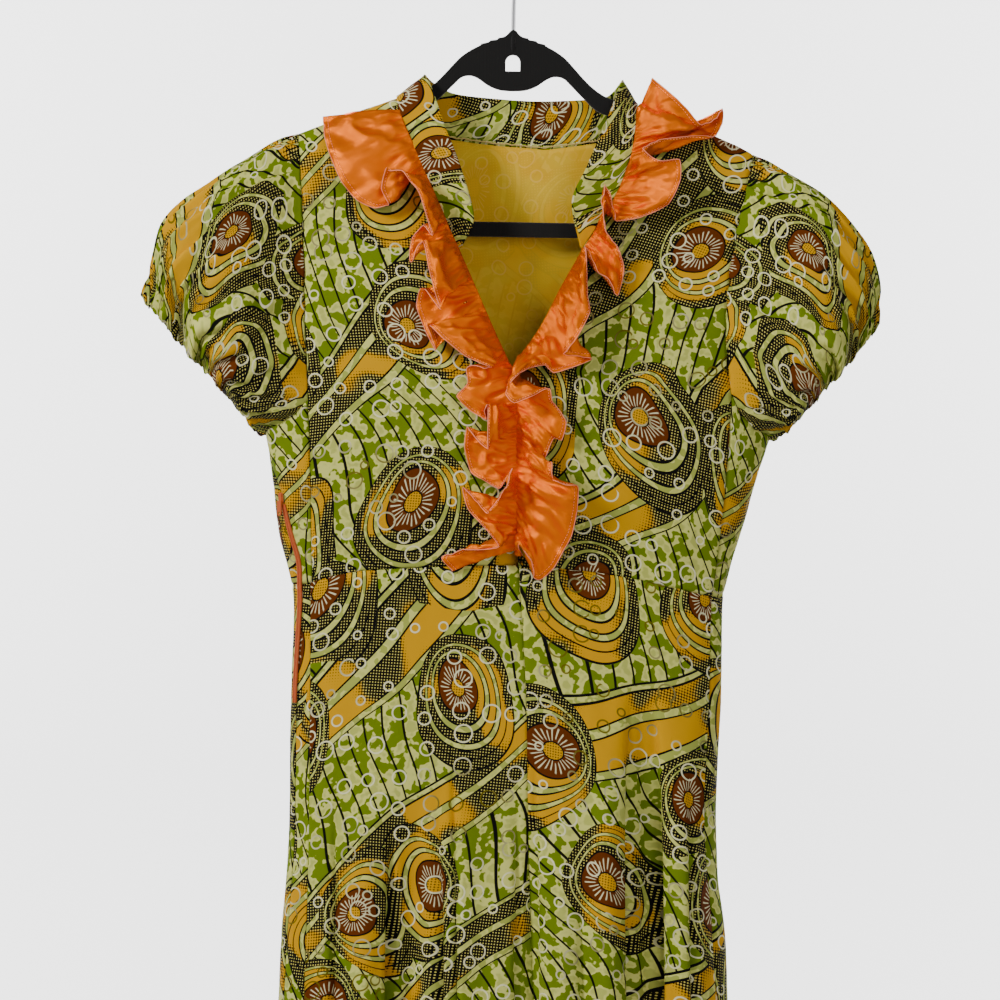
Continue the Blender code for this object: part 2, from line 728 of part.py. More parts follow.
def lofted(outer, thickness, ring=False):
    """Inner points behind a grid, along the grid's own normals. A ring's columns join round."""
    inner = []
    last = len(outer[0]) - 1
    for row, points in enumerate(outer):
        above = outer[min(row + 1, len(outer) - 1)]
        below = outer[max(row - 1, 0)]
        layer = []
        for column, point in enumerate(points):
            after = points[(column + 1) if column < last else (1 if ring else last)]
            before = points[(column - 1) if column > 0 else (last - 1 if ring else 0)]
            normal = (after - before).cross(above[column] - below[column]).normalized()
            layer.append(point - normal * thickness)
        inner.append(layer)
    return inner


# ---------------------------------------------------------------- the bodice and the skirt
def bodice_middle(sewn, side):
    """Places up a bodice's middle part: the line of the princess seam, then the armhole."""
    armhole = armhole_nodes(side)[:PRINCESS_NODE + 1]
    line = princess_angle(side, sewn)
    rise = seam_down(line, waist_corner(line).y, armhole[-1].height, BODICE_RISE_ROWS)
    return rise[:-1] + [sewn(node) for node in reversed(armhole)]


def underarm_grid(sewn, side):
    """Grid between the line of the princess seam and the side seam, under the armhole."""
    armhole = armhole_nodes(side)[PRINCESS_NODE:]
    line = princess_angle(side, sewn)
    seam = side_seam_angle(side, from_back=sewn is on_back)
    foot, seam_foot = waist_corner(line), waist_corner(seam)
    columns = len(armhole) - 1
    place = patch(
        through(waist_between(foot.x, seam_foot.x, columns)),
        through([sewn(node) for node in armhole]),
        through(seam_down(line, foot.y, armhole[0].height, BODICE_RISE_ROWS)),
        through(seam_down(seam, seam_foot.y, armhole[-1].height, BODICE_RISE_ROWS)))
    return body_grid(place, shares(columns), shares(BODICE_RISE_ROWS))


def bodice_front():
    """One piece between the princess seams, with the V neck cut into its top."""
    sheet = Sheet()
    for side in SIDES:
        start = bodice_middle(on_front, side)
        centre = waist_corner(centre_angle)
        point = on_front(V_FRONT[side][0])
        end = [centre.lerp(point, share) for share in shares(BODICE_RISE_ROWS)][:-1]
        end += [on_front(node) for node in V_FRONT[side][:-1]] + [shoulder_places(side)[-1]]
        place = patch(
            through(waist_between(start[0].x, centre.x, SHOULDER_COLUMNS)),
            through(shoulder_places(side)),
            through(start),
            through(end))
        sheet.add_grid(*body_grid(place, shares(SHOULDER_COLUMNS), shares(len(start) - 1)))
    sheet.draw_in(SEAM_GAP / 2.0)
    return sheet.build("bodice_front", "wax_print")


def bodice_side(side):
    """Narrow piece between the princess seam and the side seam, under the armhole."""
    sheet = Sheet()
    sheet.add_grid(*underarm_grid(on_front, side))
    sheet.draw_in(SEAM_GAP * 0.75)
    return sheet.build(f"bodice_side_{side}", "wax_print")


def bodice_back():
    """The back, from side seam to side seam, with the armholes and the neck cut into it."""
    edges = {side: bodice_middle(on_back, side) for side in SIDES}
    neck = [on_back(node) for node in NECK_BACK[1:-1]]
    top = shoulder_places("left", back=True) + neck + shoulder_places("right", back=True)[::-1]
    place = patch(
        through(waist_between(edges["left"][0].x, edges["right"][0].x, len(top) - 1)),
        through(top),
        through(edges["left"]),
        through(edges["right"]))
    sheet = Sheet()
    sheet.add_grid(*body_grid(place, shares(len(top) - 1), shares(len(edges["left"]) - 1)))
    for side in SIDES:
        outer, inner = underarm_grid(on_back, side)
        sheet.add_grid([row[::-1] for row in outer], [row[::-1] for row in inner])
    sheet.draw_in(SEAM_GAP / 2.0)
    return sheet.build("bodice_back", "wax_print")


def lining_back():
    """The voile layer inside the back, below the neck seam."""
    top = [on_back(node) for node in LINING_TOP]
    columns = len(top) - 1
    edges = {side: [on_back(Across(row.x, row.height)) for row in LINING_SIDE[side]] for side in SIDES}
    foot = [edges["left"][0].lerp(edges["right"][0], share) for share in shares(columns)]
    place = patch(through(foot), through(top), through(edges["left"]), through(edges["right"]))
    sheet = Sheet()
    sink = COTTON_WALL + LINING_GAP
    sheet.add_grid(*body_grid(place, shares(columns), shares(10), sink=sink, thickness=LINING_WALL))
    return sheet.build("lining_back", "voile")


def skirt_panel(name, start_angle, end_angle, waist_columns, parts):
    """Panel of the skirt between two seams, from the waist to the hem. The waist seam has the
    bodice's columns, and the mesh has a number of parts to each of them."""
    start = waist_corner(start_angle)
    end = waist_corner(end_angle)
    hem = [Vector((seam_angle(HEM_HEIGHT), HEM_HEIGHT)) for seam_angle in (start_angle, end_angle)]
    place = patch(
        through(waist_between(start.x, end.x, waist_columns)),
        through(hem),
        lambda down: seam_place(start_angle, start.y, down),
        lambda down: seam_place(end_angle, end.y, down))
    sheet = Sheet()
    sheet.add_grid(*body_grid(place, shares(waist_columns * parts), shares(SKIRT_ROWS, SKIRT_ROW_CROWD)))
    sheet.draw_in(SEAM_GAP)
    return sheet.build(name, "wax_print")


# ---------------------------------------------------------------- the sleeves
def sleeve_point(side, rings, along, turn):
    """Point of a sleeve's ring, without its gathers: turn is 0 at the top, half way under the arm."""
    top = Vector((rings["top_x"](along), 0.0, rings["top_height"](along)))
    under = Vector((rings["under_x"](along), 0.0, rings["under_height"](along)))
    down = signed_power(cos(turn), 0.85)
    out = signed_power(sin(turn), 0.85)
    line = (under - top).normalized()
    away = Vector((line.z, 0.0, -line.x)) * (1.0 if side == "left" else -1.0)
    depth = rings["front"](along) if out >= 0 else rings["back"](along)
    point = top.lerp(under, (1.0 - down) / 2.0) + away * rings["bow"](along) * out * out
    point.y = -depth * out
    return point


def sleeve(side):
    """Puffed sleeve, gathered into the armhole and at its hem. Its first ring is the armhole."""
    rings = {column: Curve(SLEEVE_RINGS[side], "along", column) for column in Ring._fields[1:]}
    nodes = armhole_nodes(side)
    seams = {way: [body_point(way * angle_at(*node), node.height) for node in nodes] for way in (1, -1)}
    half = SLEEVE_COLUMNS // 2
    outer = []
    for along in shares(SLEEVE_ROWS):
        gather = HEAD_GATHER_DEPTH * ease(along / 0.1) * ease((0.42 - along) / 0.3)
        gather += HEM_GATHER_DEPTH * ease((along - 0.6) / 0.3)
        centre = (sleeve_point(side, rings, along, 0.0) + sleeve_point(side, rings, along, pi)) / 2.0
        row = []
        for column in range(SLEEVE_COLUMNS + 1):
            way = 1 if column <= half else -1
            position = (column if way == 1 else SLEEVE_COLUMNS - column) * (len(nodes) - 1) / half
            number = min(int(position), len(nodes) - 2)
            part = position - number
            seam = seams[way][number].lerp(seams[way][number + 1], part)
            node = mix(ARMHOLE_NODES[number], ARMHOLE_NODES[number + 1], part)
            seam_turn = way * pi * node / ARMHOLE_NODES[-1]
            even_turn = way * pi * position / (len(nodes) - 1)
            turn = mix(seam_turn, even_turn, ease(along / 0.6))
            point = sleeve_point(side, rings, along, turn)
            grown = seam + point - sleeve_point(side, rings, 0.0, seam_turn)
            point = grown.lerp(point, ease(along / 0.5))
            row.append(point + (point - centre).normalized() * gather * cos(column * pi / 2.0))
        outer.append(row)
    if side == "left":
        outer = [list(reversed(row)) for row in outer]
    sheet = Sheet()
    sheet.add_grid(outer, lofted(outer, COTTON_WALL, ring=True))
    sheet.draw_in(SEAM_GAP / 2.0)
    return sheet.build(f"sleeve_{side}", "wax_print")


# ---------------------------------------------------------------- the collar
def collar():
    """Stand collar: one band from its narrow end on the left of the V, round the neck, to the right."""
    left = [on_front(node) for node in V_FRONT["left"][COLLAR_START:-1]] + [shoulder_places("left")[-1]]
    right = [on_front(node) for node in V_FRONT["right"][COLLAR_START:-1]] + [shoulder_places("right")[-1]]
    seam = left + [on_back(node) for node in NECK_BACK[1:-1]] + right[::-1]
    free = [Vector((row.x, row.depth, row.height)) for row in COLLAR_FREE_EDGE]
    if len(seam) != len(free):
        raise ValueError(f"the collar's seam has {len(seam)} places and its free edge {len(free)}")
    curves = [Curve(COLLAR_FREE_EDGE, "number", column) for column in ("x", "depth", "height")]
    outer = []
    for up in shares(3):
        row = []
        for number, place in enumerate(seam):
            foot = body_point(*place)
            row.append(foot.lerp(free[number], up))
            if number < len(seam) - 1:
                middle = (foot + body_point(*seam[number + 1])) / 2.0
                between = Vector([curve(number + 0.5) for curve in curves])
                row.append(middle.lerp(between, up))
        outer.append(row)
    sheet = Sheet()
    sheet.add_grid(outer, lofted(outer, COLLAR_WALL))
    sheet.draw_in(SEAM_GAP / 2.0)
    return sheet.build("collar_stand", "wax_print")


# ---------------------------------------------------------------- the ruffles
def ruffle_path(side):
    """Points a millimetre apart down the sewn edge: down the V, then down the centre front."""
    way = -1.0 if side == "left" else 1.0
    top = V_FRONT[side][-1].height - RUFFLE_START_DROP
    centre = RUFFLE_CENTRE[side]
    path = []
    height = top
    while height > RUFFLE_FOOT:
        edge = V_EDGE[side](height) + way * 0.8 if height > V_FRONT[side][0].height else centre
        x = way * max(way * edge, way * centre)
        step = 1.0
        if path:
            step = hypot(x - path[-1].x, height - path[-1].height)
        if step >= 1.0 or not path:
            path.append(Across(x, height))
        height -= 0.05
    return path


def rounded_row(values):
    """The values with one more between each two, on a smooth curve through them all."""
    ends = [values[0]] + values + [values[-1]]
    row = []
    for before, start, end, after in zip(ends, ends[1:], ends[2:], ends[3:]):
        row += [start, (9.0 * (start + end) - before - after) / 16.0]
    return row + [values[-1]]


def sewn_place(path, along):
    """Place on the sewn edge, between the path's points."""
    along = min(along, len(path) - 1.001)
    start, end = path[int(along)], path[int(along) + 1]
    return Vector(start).lerp(Vector(end), along - int(along))


def turning_shares(sewn, free):
    """Shares of the way out at which the strip stands upright in its folds, where its two edges
    run opposite ways. Each share is evened out with its neighbours."""
    last = len(sewn) - 1
    turns = []
    for number in range(last + 1):
        before, after = max(0, number - 1), min(last, number + 1)
        out = free[number] - sewn[number]
        across = Vector((-out.y, out.x))
        sewn_step = (sewn[after] - sewn[before]).dot(across)
        free_step = (free[after] - free[before]).dot(across)
        turn = RUFFLE_OPEN_TURN
        if sewn_step * free_step < 0.0:
            turn = sewn_step / (sewn_step - free_step)
        turns.append(min(max(turn, RUFFLE_TURNS[0]), RUFFLE_TURNS[1]))
    return [(turns[max(0, number - 1)] + 2.0 * turns[number] + turns[min(last, number + 1)]) / 4.0
            for number in range(last + 1)]


def ruffle(side):
    """Gathered satin strip, from its sewn edge along the seam to its folded free edge."""
    path = ruffle_path(side)
    waves = RUFFLE_EDGE[side]
    sewn = [sewn_place(path, along) for along in rounded_row([wave.along for wave in waves])]
    free = rounded_row([Vector((wave.x, wave.height)) for wave in waves])
    lifts = rounded_row([wave.lift for wave in waves])
    columns = len(sewn)
    outer = []
    for row_shares in ([0.0] * columns, turning_shares(sewn, free), [0.6] * columns, [1.0] * columns):
        row = []
        for start, end, lift, share in zip(sewn, free, lifts, row_shares):
            x, height = start.lerp(end, share)
            rise = 1.0 - (1.0 - share) ** RUFFLE_ROUND
            depth = front_depth(x, height) + RUFFLE_STAND_OFF + lift * rise
            row.append(Vector((x, -depth, height)))
        outer.append(row)
    if side == "left":
        outer = [list(reversed(row)) for row in outer]
    inner = lofted(outer, SATIN_WALL)
    for column, point in enumerate(outer[0]):
        wall = point - inner[0][column] + (outer[1][column] - inner[1][column]) / 2.0
        inner[0][column] = point - wall.normalized() * SATIN_WALL
    sheet = Sheet()
    sheet.add_grid(outer, inner)
    return sheet.build(f"ruffle_{side}", "satin", split=True)


# ---------------------------------------------------------------- the zip
def zip_frame(height):
    """Outer surface point of the zip's seam at a height, with the ways round and out of the cloth."""
    angle = side_seam_angle("left")(height)
    out = body_normal(angle, height)
    round_cloth = (body_point(angle - 0.01, height) - body_point(angle + 0.01, height)).normalized()
    return body_point(angle, height), round_cloth, out


def zip_tape():
    """Closed zip in the side seam, tape and coil in one narrow strip that crosses the waist."""
    outer = []
    inner = []
    for share in shares(18):
        point, round_cloth, out = zip_frame(mix(ZIP_FOOT, ZIP_TOP, share))
        spots = [point + round_cloth * ZIP_WIDTH * place for place in (-0.5, 0.0, 0.5)]
        outer.append([spot + out * (ZIP_STAND_OFF + ZIP_THICKNESS) for spot in spots])
        inner.append([spot + out * ZIP_STAND_OFF for spot in spots])
    sheet = Sheet()
    sheet.add_grid(outer, inner)
    return sheet.build("zip_tape", "zip_tape")


def block(name, size, finish, round_edge):
    """Box with rounded edges, in its own frame."""
    shape = bmesh.new()
    bmesh.ops.create_cube(shape, size=1.0)
    bmesh.ops.scale(shape, vec=size, verts=shape.verts)
    bmesh.ops.bevel(shape, geom=shape.edges, offset=round_edge, segments=2, affect="EDGES")
    return add_shape(name, shape, finish)


def zip_slider():
    """Slider at the closed top of the zip, in line with the cloth."""
    point, round_cloth, out = zip_frame(SLIDER_HEIGHT)
    up = round_cloth.cross(out)
    piece = block("zip_slider", SLIDER_SIZE, "zip_metal", 0.7)
    turned = Matrix((round_cloth, out, up)).transposed().to_4x4()
    place = point + out * (ZIP_STAND_OFF + 0.2 + SLIDER_SIZE[1] / 2.0)
    piece.matrix_world = Matrix.Translation(place * MM) @ turned
    return piece


def pull_pivot():
    """Where the pull tab hangs: in front of the slider's outer face, near its top."""
    point, round_cloth, out = zip_frame(SLIDER_HEIGHT)
    up = round_cloth.cross(out)
    reach = ZIP_STAND_OFF + 0.2 + SLIDER_SIZE[1] + PULL_GAP + PULL_SIZE[1] / 2.0
    return point + out * reach + up * SLIDER_SIZE[2] * 0.25, out


def zip_pull():
    """Pull tab with a small hole, hanging straight down. Its origin is on its hinge axis."""
    pivot, out = pull_pivot()
    level_out = Vector((out.x, out.y, 0.0)).normalized()
    width, thickness, length = (value * MM for value in PULL_SIZE)
    outline = bpy.data.curves.new("zip_pull_outline", "CURVE")
    outline.dimensions = "2D"
    outline.fill_mode = "BOTH"
    outline.extrude = thickness / 2.0
    head = thickness / 2.0
    foot = head - length
    radius = width / 2.0
    arc = [(radius * cos(pi * share), foot + radius - radius * sin(pi * share)) for share in shares(8)]
    add_spline(outline, [(-radius, head)] + arc[::-1] + [(radius, head)])
    hole_radius = PULL_HOLE_RADIUS * MM
    turns = [2 * pi * share for share in shares(10)[:-1]]
    hole = [(hole_radius * cos(turn), foot + radius + hole_radius * sin(turn)) for turn in turns]
    add_spline(outline, hole)
    piece = mesh_of_curve("zip_pull", outline, "zip_metal")
    across = Vector((-level_out.y, level_out.x, 0.0))
    turned = Matrix((across, Vector((0.0, 0.0, 1.0)), across.cross(Vector((0.0, 0.0, 1.0))))).transposed()
    piece.matrix_world = Matrix.Translation(pivot * MM) @ turned.to_4x4()
    return piece


# ---------------------------------------------------------------- the hanger
def add_spline(curve, points, closed=True):
    spline = curve.splines.new("POLY")
    spline.points.add(len(points) - 1)
    for spot, point in zip(spline.points, points):
        spot.co = (point[0], point[1], point[2] if len(point) == 3 else 0.0, 1.0)
    spline.use_cyclic_u = closed
    return spline


def mesh_of_curve(name, curve, finish):
    """Object from a curve, its caps welded to its sides."""
    guide = bpy.data.objects.new(name + "_guide", curve)
    bpy.data.collections[COLLECTION].objects.link(guide)
    evaluated = guide.evaluated_get(bpy.context.evaluated_depsgraph_get())
    mesh = bpy.data.meshes.new_from_object(evaluated)
    bpy.data.objects.remove(guide)
    bpy.data.curves.remove(curve)
    shape = bmesh.new()
    shape.from_mesh(mesh)
    bmesh.ops.remove_doubles(shape, verts=shape.verts, dist=0.00001)
    bmesh.ops.recalc_face_normals(shape, faces=shape.faces)
    shape.to_mesh(mesh)
    shape.free()
    mesh.name = name
    mesh.materials.clear()
    mesh.shade_smooth()
    mesh.set_sharp_from_angle(angle=radians(50))
    return add_object(name, mesh, finish)


def mirrored(rows):
    """Closed outline from its half."""
    half = [(row.x * MM, row.height * MM) for row in rows]
    return half + [(-x, height) for x, height in half[-2:0:-1]]


def hanger():
    """Flat hanger: two arms, a bar and a nub with an arched window."""
    outline = bpy.data.curves.new("hanger_outline", "CURVE")
    outline.dimensions = "2D"
    outline.fill_mode = "BOTH"
    outline.extrude = (HANGER_THICKNESS / 2.0 - HANGER_EDGE_ROUND) * MM
    outline.bevel_depth = HANGER_EDGE_ROUND * MM
    outline.bevel_resolution = 0
    outline.offset = -HANGER_EDGE_ROUND * MM
    add_spline(outline, mirrored(ARM_TOP + ARM_END))
    add_spline(outline, mirrored(ARM_INSIDE))
    half = WINDOW_WIDTH / 2.0
    spring = WINDOW_TOP - half
    arch = [Across(half * sin(pi / 2 * share), spring + half * cos(pi / 2 * share)) for share in shares(4)]
    add_spline(outline, mirrored(tuple(arch) + (Across(half, WINDOW_FOOT), Across(0, WINDOW_FOOT))))
    piece = mesh_of_curve("hanger", outline, "flocked_hanger")
    piece.matrix_world = Matrix.Rotation(HANGER_TILT, 4, "Y") @ Matrix.Rotation(pi / 2.0, 4, "X")
    return piece


def hanger_hook():
    """Round wire hook that stands on the nub and rises to the origin."""
    radius = HOOK_INNER_RADIUS + HOOK_WIRE_RADIUS
    shank = [Across(0, NUB_TOP + SEAM_GAP), Across(0, -66), Across(0.2, -56), Across(2.6, -47.6),
             Across(8.0, -41.4)]
    turns = [radians(degree) for degree in range(-52, 204, 15)]
    bend = [Across(radius * cos(turn), -HOOK_INNER_RADIUS + radius * sin(turn)) for turn in turns]
    wire = bpy.data.curves.new("hanger_hook_wire", "CURVE")
    wire.dimensions = "3D"
    wire.bevel_depth = HOOK_WIRE_RADIUS * MM
    wire.bevel_resolution = 1
    wire.use_fill_caps = True
    add_spline(wire, [(row.x * MM, 0.0, row.height * MM) for row in shank + bend], closed=False)
    piece = mesh_of_curve("hanger_hook", wire, "steel")
    piece.matrix_world = Matrix.Rotation(HANGER_TILT, 4, "Y")
    return piece


def clear_scene():
    for piece in list(bpy.data.objects):
        bpy.data.objects.remove(piece, do_unlink=True)
    bpy.context.scene.collection.children.link(bpy.data.collections.new(COLLECTION))


def main():
    clear_scene()
    hanger()
    hanger_hook()
    bodice_front()
    bodice_back()
    lining_back()
    collar()
    skirt_panel("skirt_front_left", princess_angle("left"), centre_angle, SHOULDER_COLUMNS, SKIRT_COLUMNS)
    skirt_panel("skirt_front_right", centre_angle, princess_angle("right"), SHOULDER_COLUMNS, SKIRT_COLUMNS)
    back_start = side_seam_angle("left", from_back=True)
    skirt_panel("skirt_back", back_start, side_seam_angle("right"), BACK_COLUMNS, 2)
    for side in SIDES:
        bodice_side(side)
        skirt_panel(f"skirt_side_{side}", princess_angle(side), side_seam_angle(side), 3, 1)
        sleeve(side)
        ruffle(side)
    zip_tape()
    zip_slider()
    zip_pull()


main()
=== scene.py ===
"""Wax print dress on a hanger: its cloth, sewing and finishes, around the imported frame.

Sizes and tables are millimetres, unless they say otherwise: heights are measured from the inner
top of the hanger's hook, and depths from the hanger's plane. The dress faces -Y and its zip side
is at -X. Folds, gathers and creases are functions of the places on the cloth.
"""

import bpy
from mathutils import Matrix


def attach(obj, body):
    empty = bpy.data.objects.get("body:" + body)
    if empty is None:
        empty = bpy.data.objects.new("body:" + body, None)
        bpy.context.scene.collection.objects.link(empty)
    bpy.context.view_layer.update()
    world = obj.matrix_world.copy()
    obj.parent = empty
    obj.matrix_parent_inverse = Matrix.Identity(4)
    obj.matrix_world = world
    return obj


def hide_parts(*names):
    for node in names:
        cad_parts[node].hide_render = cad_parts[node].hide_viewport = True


bl_info = {
    "name": "Wax print dress on hanger",
    "version": (1, 0, 0),
    "blender": (4, 5, 0),
    "location": "View3D > Sidebar > Dress",
    "description": "Builds a short-sleeved printed dress with satin ruffles on its hanger",
    "category": "Object",
}

from collections import namedtuple
from math import cos, pi, radians, sin

import bpy
import numpy as np
from mathutils import Matrix

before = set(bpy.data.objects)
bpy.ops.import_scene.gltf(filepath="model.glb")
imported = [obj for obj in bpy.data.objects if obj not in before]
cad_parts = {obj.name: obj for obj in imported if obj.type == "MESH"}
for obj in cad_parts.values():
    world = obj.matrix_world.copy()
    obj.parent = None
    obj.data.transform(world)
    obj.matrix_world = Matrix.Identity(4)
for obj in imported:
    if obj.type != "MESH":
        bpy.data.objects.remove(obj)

MM = 0.001
SIDES = ("left", "right")

# ---------------------------------------------------------------- driving sizes (mm)
HANGER_THICKNESS = 6.0
HANGER_EDGE_ROUND = 1.4
HANGER_TILT = radians(0.9)
TILT_HEIGHT = 160.0        # drop below the hook at which the tilt's sideways shift is taken
NUB_END = 45.0             # the nub's own outline ends here, and the arms' goes on
WINDOW_WIDTH = 11.7
WINDOW_TOP = -101.0
WINDOW_FOOT = -114.0
RIB_TOP = -84.0
RIB_RADIUS = 2.1
RIB_REST = 1.7             # depth of the rib's middle in the hanger, at its ends
RIB_SWELL = 0.8
HEM_HEIGHT = -1114.0
ROUNDNESS = 2.6            # exponent of the body's flattened sections, 2 being an ellipse
SHOULDER_ROUND = 36.0      # drop over which the cloth turns over the shoulder line
CLOTH_OVER_ARM = 3.8       # height of the shoulder line over the hanger's arms
ARM_START = 90.0           # the shoulder line follows the arms from here out
COTTON_WALL = 1.5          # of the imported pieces
LINING_GAP = 1.2
LINING_WALL = 0.4
COLLAR_WALL = 1.6
ZIP_TOP = -461.0
ZIP_FOOT = -620.0
ZIP_THICKNESS = 1.2
ZIP_STAND_OFF = 0.8
TAPE_WALL = 0.5
TOOTH_PITCH = 1.3
RUFFLE_START_DROP = 9.0    # the sewn edge starts this far below the neck point
RUFFLE_CENTRE = {"left": -3.5, "right": 1.8}
RUFFLE_STAND_OFF = 1.9     # outer face's height over the dress at the sewn edge
RUFFLE_FOOT = -507.0
RUFFLE_WIDTH = 60.0
RUFFLE_ROUND = 2.4         # power of the strip's rise off the dress
CORNER_ROUNDNESS = 0.5     # 0 for folds with straight edges, 1 for smooth ones
HEM_THREAD = 0.42          # radius of the ruffles' bound edge
STITCH_PITCH = 2.6
HEAD_GATHER_DEPTH = 2.0
HEM_GATHER_DEPTH = 2.8

# ---------------------------------------------------------------- tables (mm)
def table(kind, *rows):
    """Rows with named columns."""
    return tuple(kind(*row) for row in rows)


Across = namedtuple("Across", "x height")
Down = namedtuple("Down", "height x")
ARM_TOP = table(Across,
    (0, -81), (6, -82), (16, -89.5), (34, -98), (47, -108.5), (57, -119.5), (65, -127), (74, -133),
    (84, -137), (94, -141.5), (134, -156.5), (174, -172.5), (191, -181), (203, -190), (210, -202))
ARM_END = table(Across, (211, -214), (208, -228), (201, -239), (190, -245.5), (176, -247), (0, -247))
ARM_INSIDE = table(Across,
    (0, -130), (10, -129.3), (19, -126), (28, -120), (34.5, -118), (41, -119.5), (47, -125), (57, -135),
    (68, -145), (84, -151), (134, -170), (172, -185.5), (187, -194), (195, -205), (197, -216), (194, -227),
    (186, -234), (172, -235), (0, -235))
# The nub, with the small ridges beside it. The arms follow from it in ARM_TOP.
NUB = table(Across,
    (0, -80.6), (2.2, -81.6), (4.4, -84.2), (7, -86.2), (10.6, -87.2), (12, -87.4), (12.8, -88.6),
    (17.4, -89.4), (18.8, -89.7), (19.6, -90.8), (24.4, -92), (25.8, -92.4), (26.6, -93.6), (34, -97.6),
    (41.5, -102.9))
NECK_RISE = table(Across, (0, -117), (50, -123), (80, -133))
Section = namedtuple("Section", "height left right front back")
SECTIONS = table(Section,
    (-110, 206, 210, 17, 16), (-170, 206, 210, 20, 18), (-235, 206, 210, 27, 20), (-310, 206, 210, 37, 25),
    (-380, 206, 210, 41, 28), (-406, 200, 205, 41, 29), (-442, 194, 193, 40, 29), (-482, 189, 182, 36, 27),
    (-518, 180, 171, 32, 25), (-540, 178, 166, 32, 26), (-618, 180, 164, 36, 30), (-710, 181, 160, 41, 34),
    (-755, 183, 161, 43, 36), (-802, 187, 167, 45, 38), (-858, 190, 170, 47, 40),
    (-1000, 197, 178, 51, 44), (-1114, 202, 184, 54, 47))
V_FRONT = {
    "left": table(Down,
        (-353, -3.2), (-320, -18.3), (-288, -32.1), (-258, -45.1), (-230, -57.2), (-202, -69.4),
        (-174, -81.5), (-150, -91.6), (-140, -94), (-136.6, -94)),
    "right": table(Down,
        (-353, -3.2), (-320, 20.8), (-289, 36.8), (-259, 54), (-234, 69.5), (-207, 84.5), (-178, 94.2),
        (-156, 97.3), (-144.6, 97.6), (-141.2, 97.6)),
}
COLLAR_START = 3           # row of V_FRONT at which the collar starts
NECK_BACK = table(Across,
    (-94, -136.6), (-92.8, -140.3), (-82, -151), (-53, -165), (-16, -170), (24, -173.5), (66, -168),
    (86, -157), (96.4, -145.3), (97.6, -141.2))
ARMHOLE = {
    "left": table(Across,
        (-174, -164.8), (-171.5, -199), (-169.5, -236), (-168.5, -273), (-168, -309), (-166.5, -345),
        (-165, -378), (-183, -393.5), (-200, -406)),
    "right": table(Across,
        (191, -181.9), (184, -212), (177, -243), (172, -272), (168.5, -300), (168, -330), (172, -372),
        (186, -396.5), (205, -410)),
}
# Nodes where the bodice's and the sleeves' grids meet, as rows of ARMHOLE or places between them.
ARMHOLE_NODES = (0, 0.05, 0.2, 0.6, 1.3, 2.2, 3.2, 4.2, 5.1, 6, 6.6, 7.3, 8)
PRINCESS_NODE = 9          # node at which the princess seam starts
PRINCESS_SEAM = {
    "left": table(Down,
        (-378, -165), (-440, -164), (-523, -163), (-700, -164), (-858, -168), (-1114, -178)),
    "right": table(Down,
        (-372, 172), (-406, 170.5), (-442, 168), (-482, 164), (-518, 160), (-540, 157), (-618, 155),
        (-710, 151), (-802, 157), (-858, 160), (-1114, 172)),
}
CENTRE_SEAM = table(Down, (-510, 3), (-618, 9), (-746, 11), (-858, 14), (-1114, 16))
WAIST_SEAM = table(Across,
    (-182, -526), (-163, -524), (-129, -515), (0, -510), (76, -517), (108, -524), (172, -538))
WAIST_SEAM_BACK = -526.0
LINING_TOP = table(Across,
    (-158, -202), (-122, -192), (-90, -182), (-53, -167.5), (-16, -172.5), (24, -176), (66, -170.5),
    (92, -186), (128, -200), (170, -222))
LINING_SIDE = {
    "left": table(Down, (-505, -168), (-440, -176), (-395, -172), (-350, -160), (-260, -160), (-202, -158)),
    "right": table(Down, (-505, 162), (-440, 178), (-395, 176), (-350, 162), (-280, 164), (-222, 170)),
}
# Side seams, as angles round the body in degrees.
SideSeams = namedtuple("SideSeams", "height left right")
SIDE_SEAMS = table(SideSeams,
    (-400, 180, 0), (-410, 180, 0), (-450, 164, -12), (-500, 158, -17), (-530, 161.5, -18),
    (-620, 165, -17), (-1114, 166, -16))
Fold = namedtuple("Fold", "x_top x_hem start half_width depth")
FRONT_FOLDS = table(Fold,
    (-150, -160, -560, 20, 5), (-118, -128, -640, 20, 9), (-80, -86, -660, 19, -17),
    (-45, -46, -640, 22, 9), (-12, -8, -700, 18, 6), (11, 16, -640, 9, -9), (38, 42, -650, 20, 8),
    (72, 76, -600, 18, 11), (102, 108, -570, 15, -21), (134, 142, -620, 18, 8))
BACK_FOLDS = table(Fold,
    (-140, -150, -600, 24, 7), (-104, -112, -620, 20, -13), (-62, -66, -600, 24, 9),
    (-20, -22, -640, 20, -14), (22, 24, -600, 24, 9), (64, 70, -620, 20, -13), (104, 112, -600, 24, 9),
    (138, 148, -640, 16, -7))
# Sharp creases of the skirt's front, where its folds turn under.
CREASES = table(Fold,
    (-98, -99, -690, 4.5, -14), (-62, -64, -680, 5, -13), (-50, -44, -600, 3.4, -6), (2, 3, -610, 3, -6),
    (15, 17, -620, 3.2, -8), (91, 96, -600, 4.2, -13), (110, 116, -590, 5, -14),
    (-142, -150, -660, 3.8, -7), (52, 58, -740, 4, -6), (138, 148, -640, 3.8, -6))
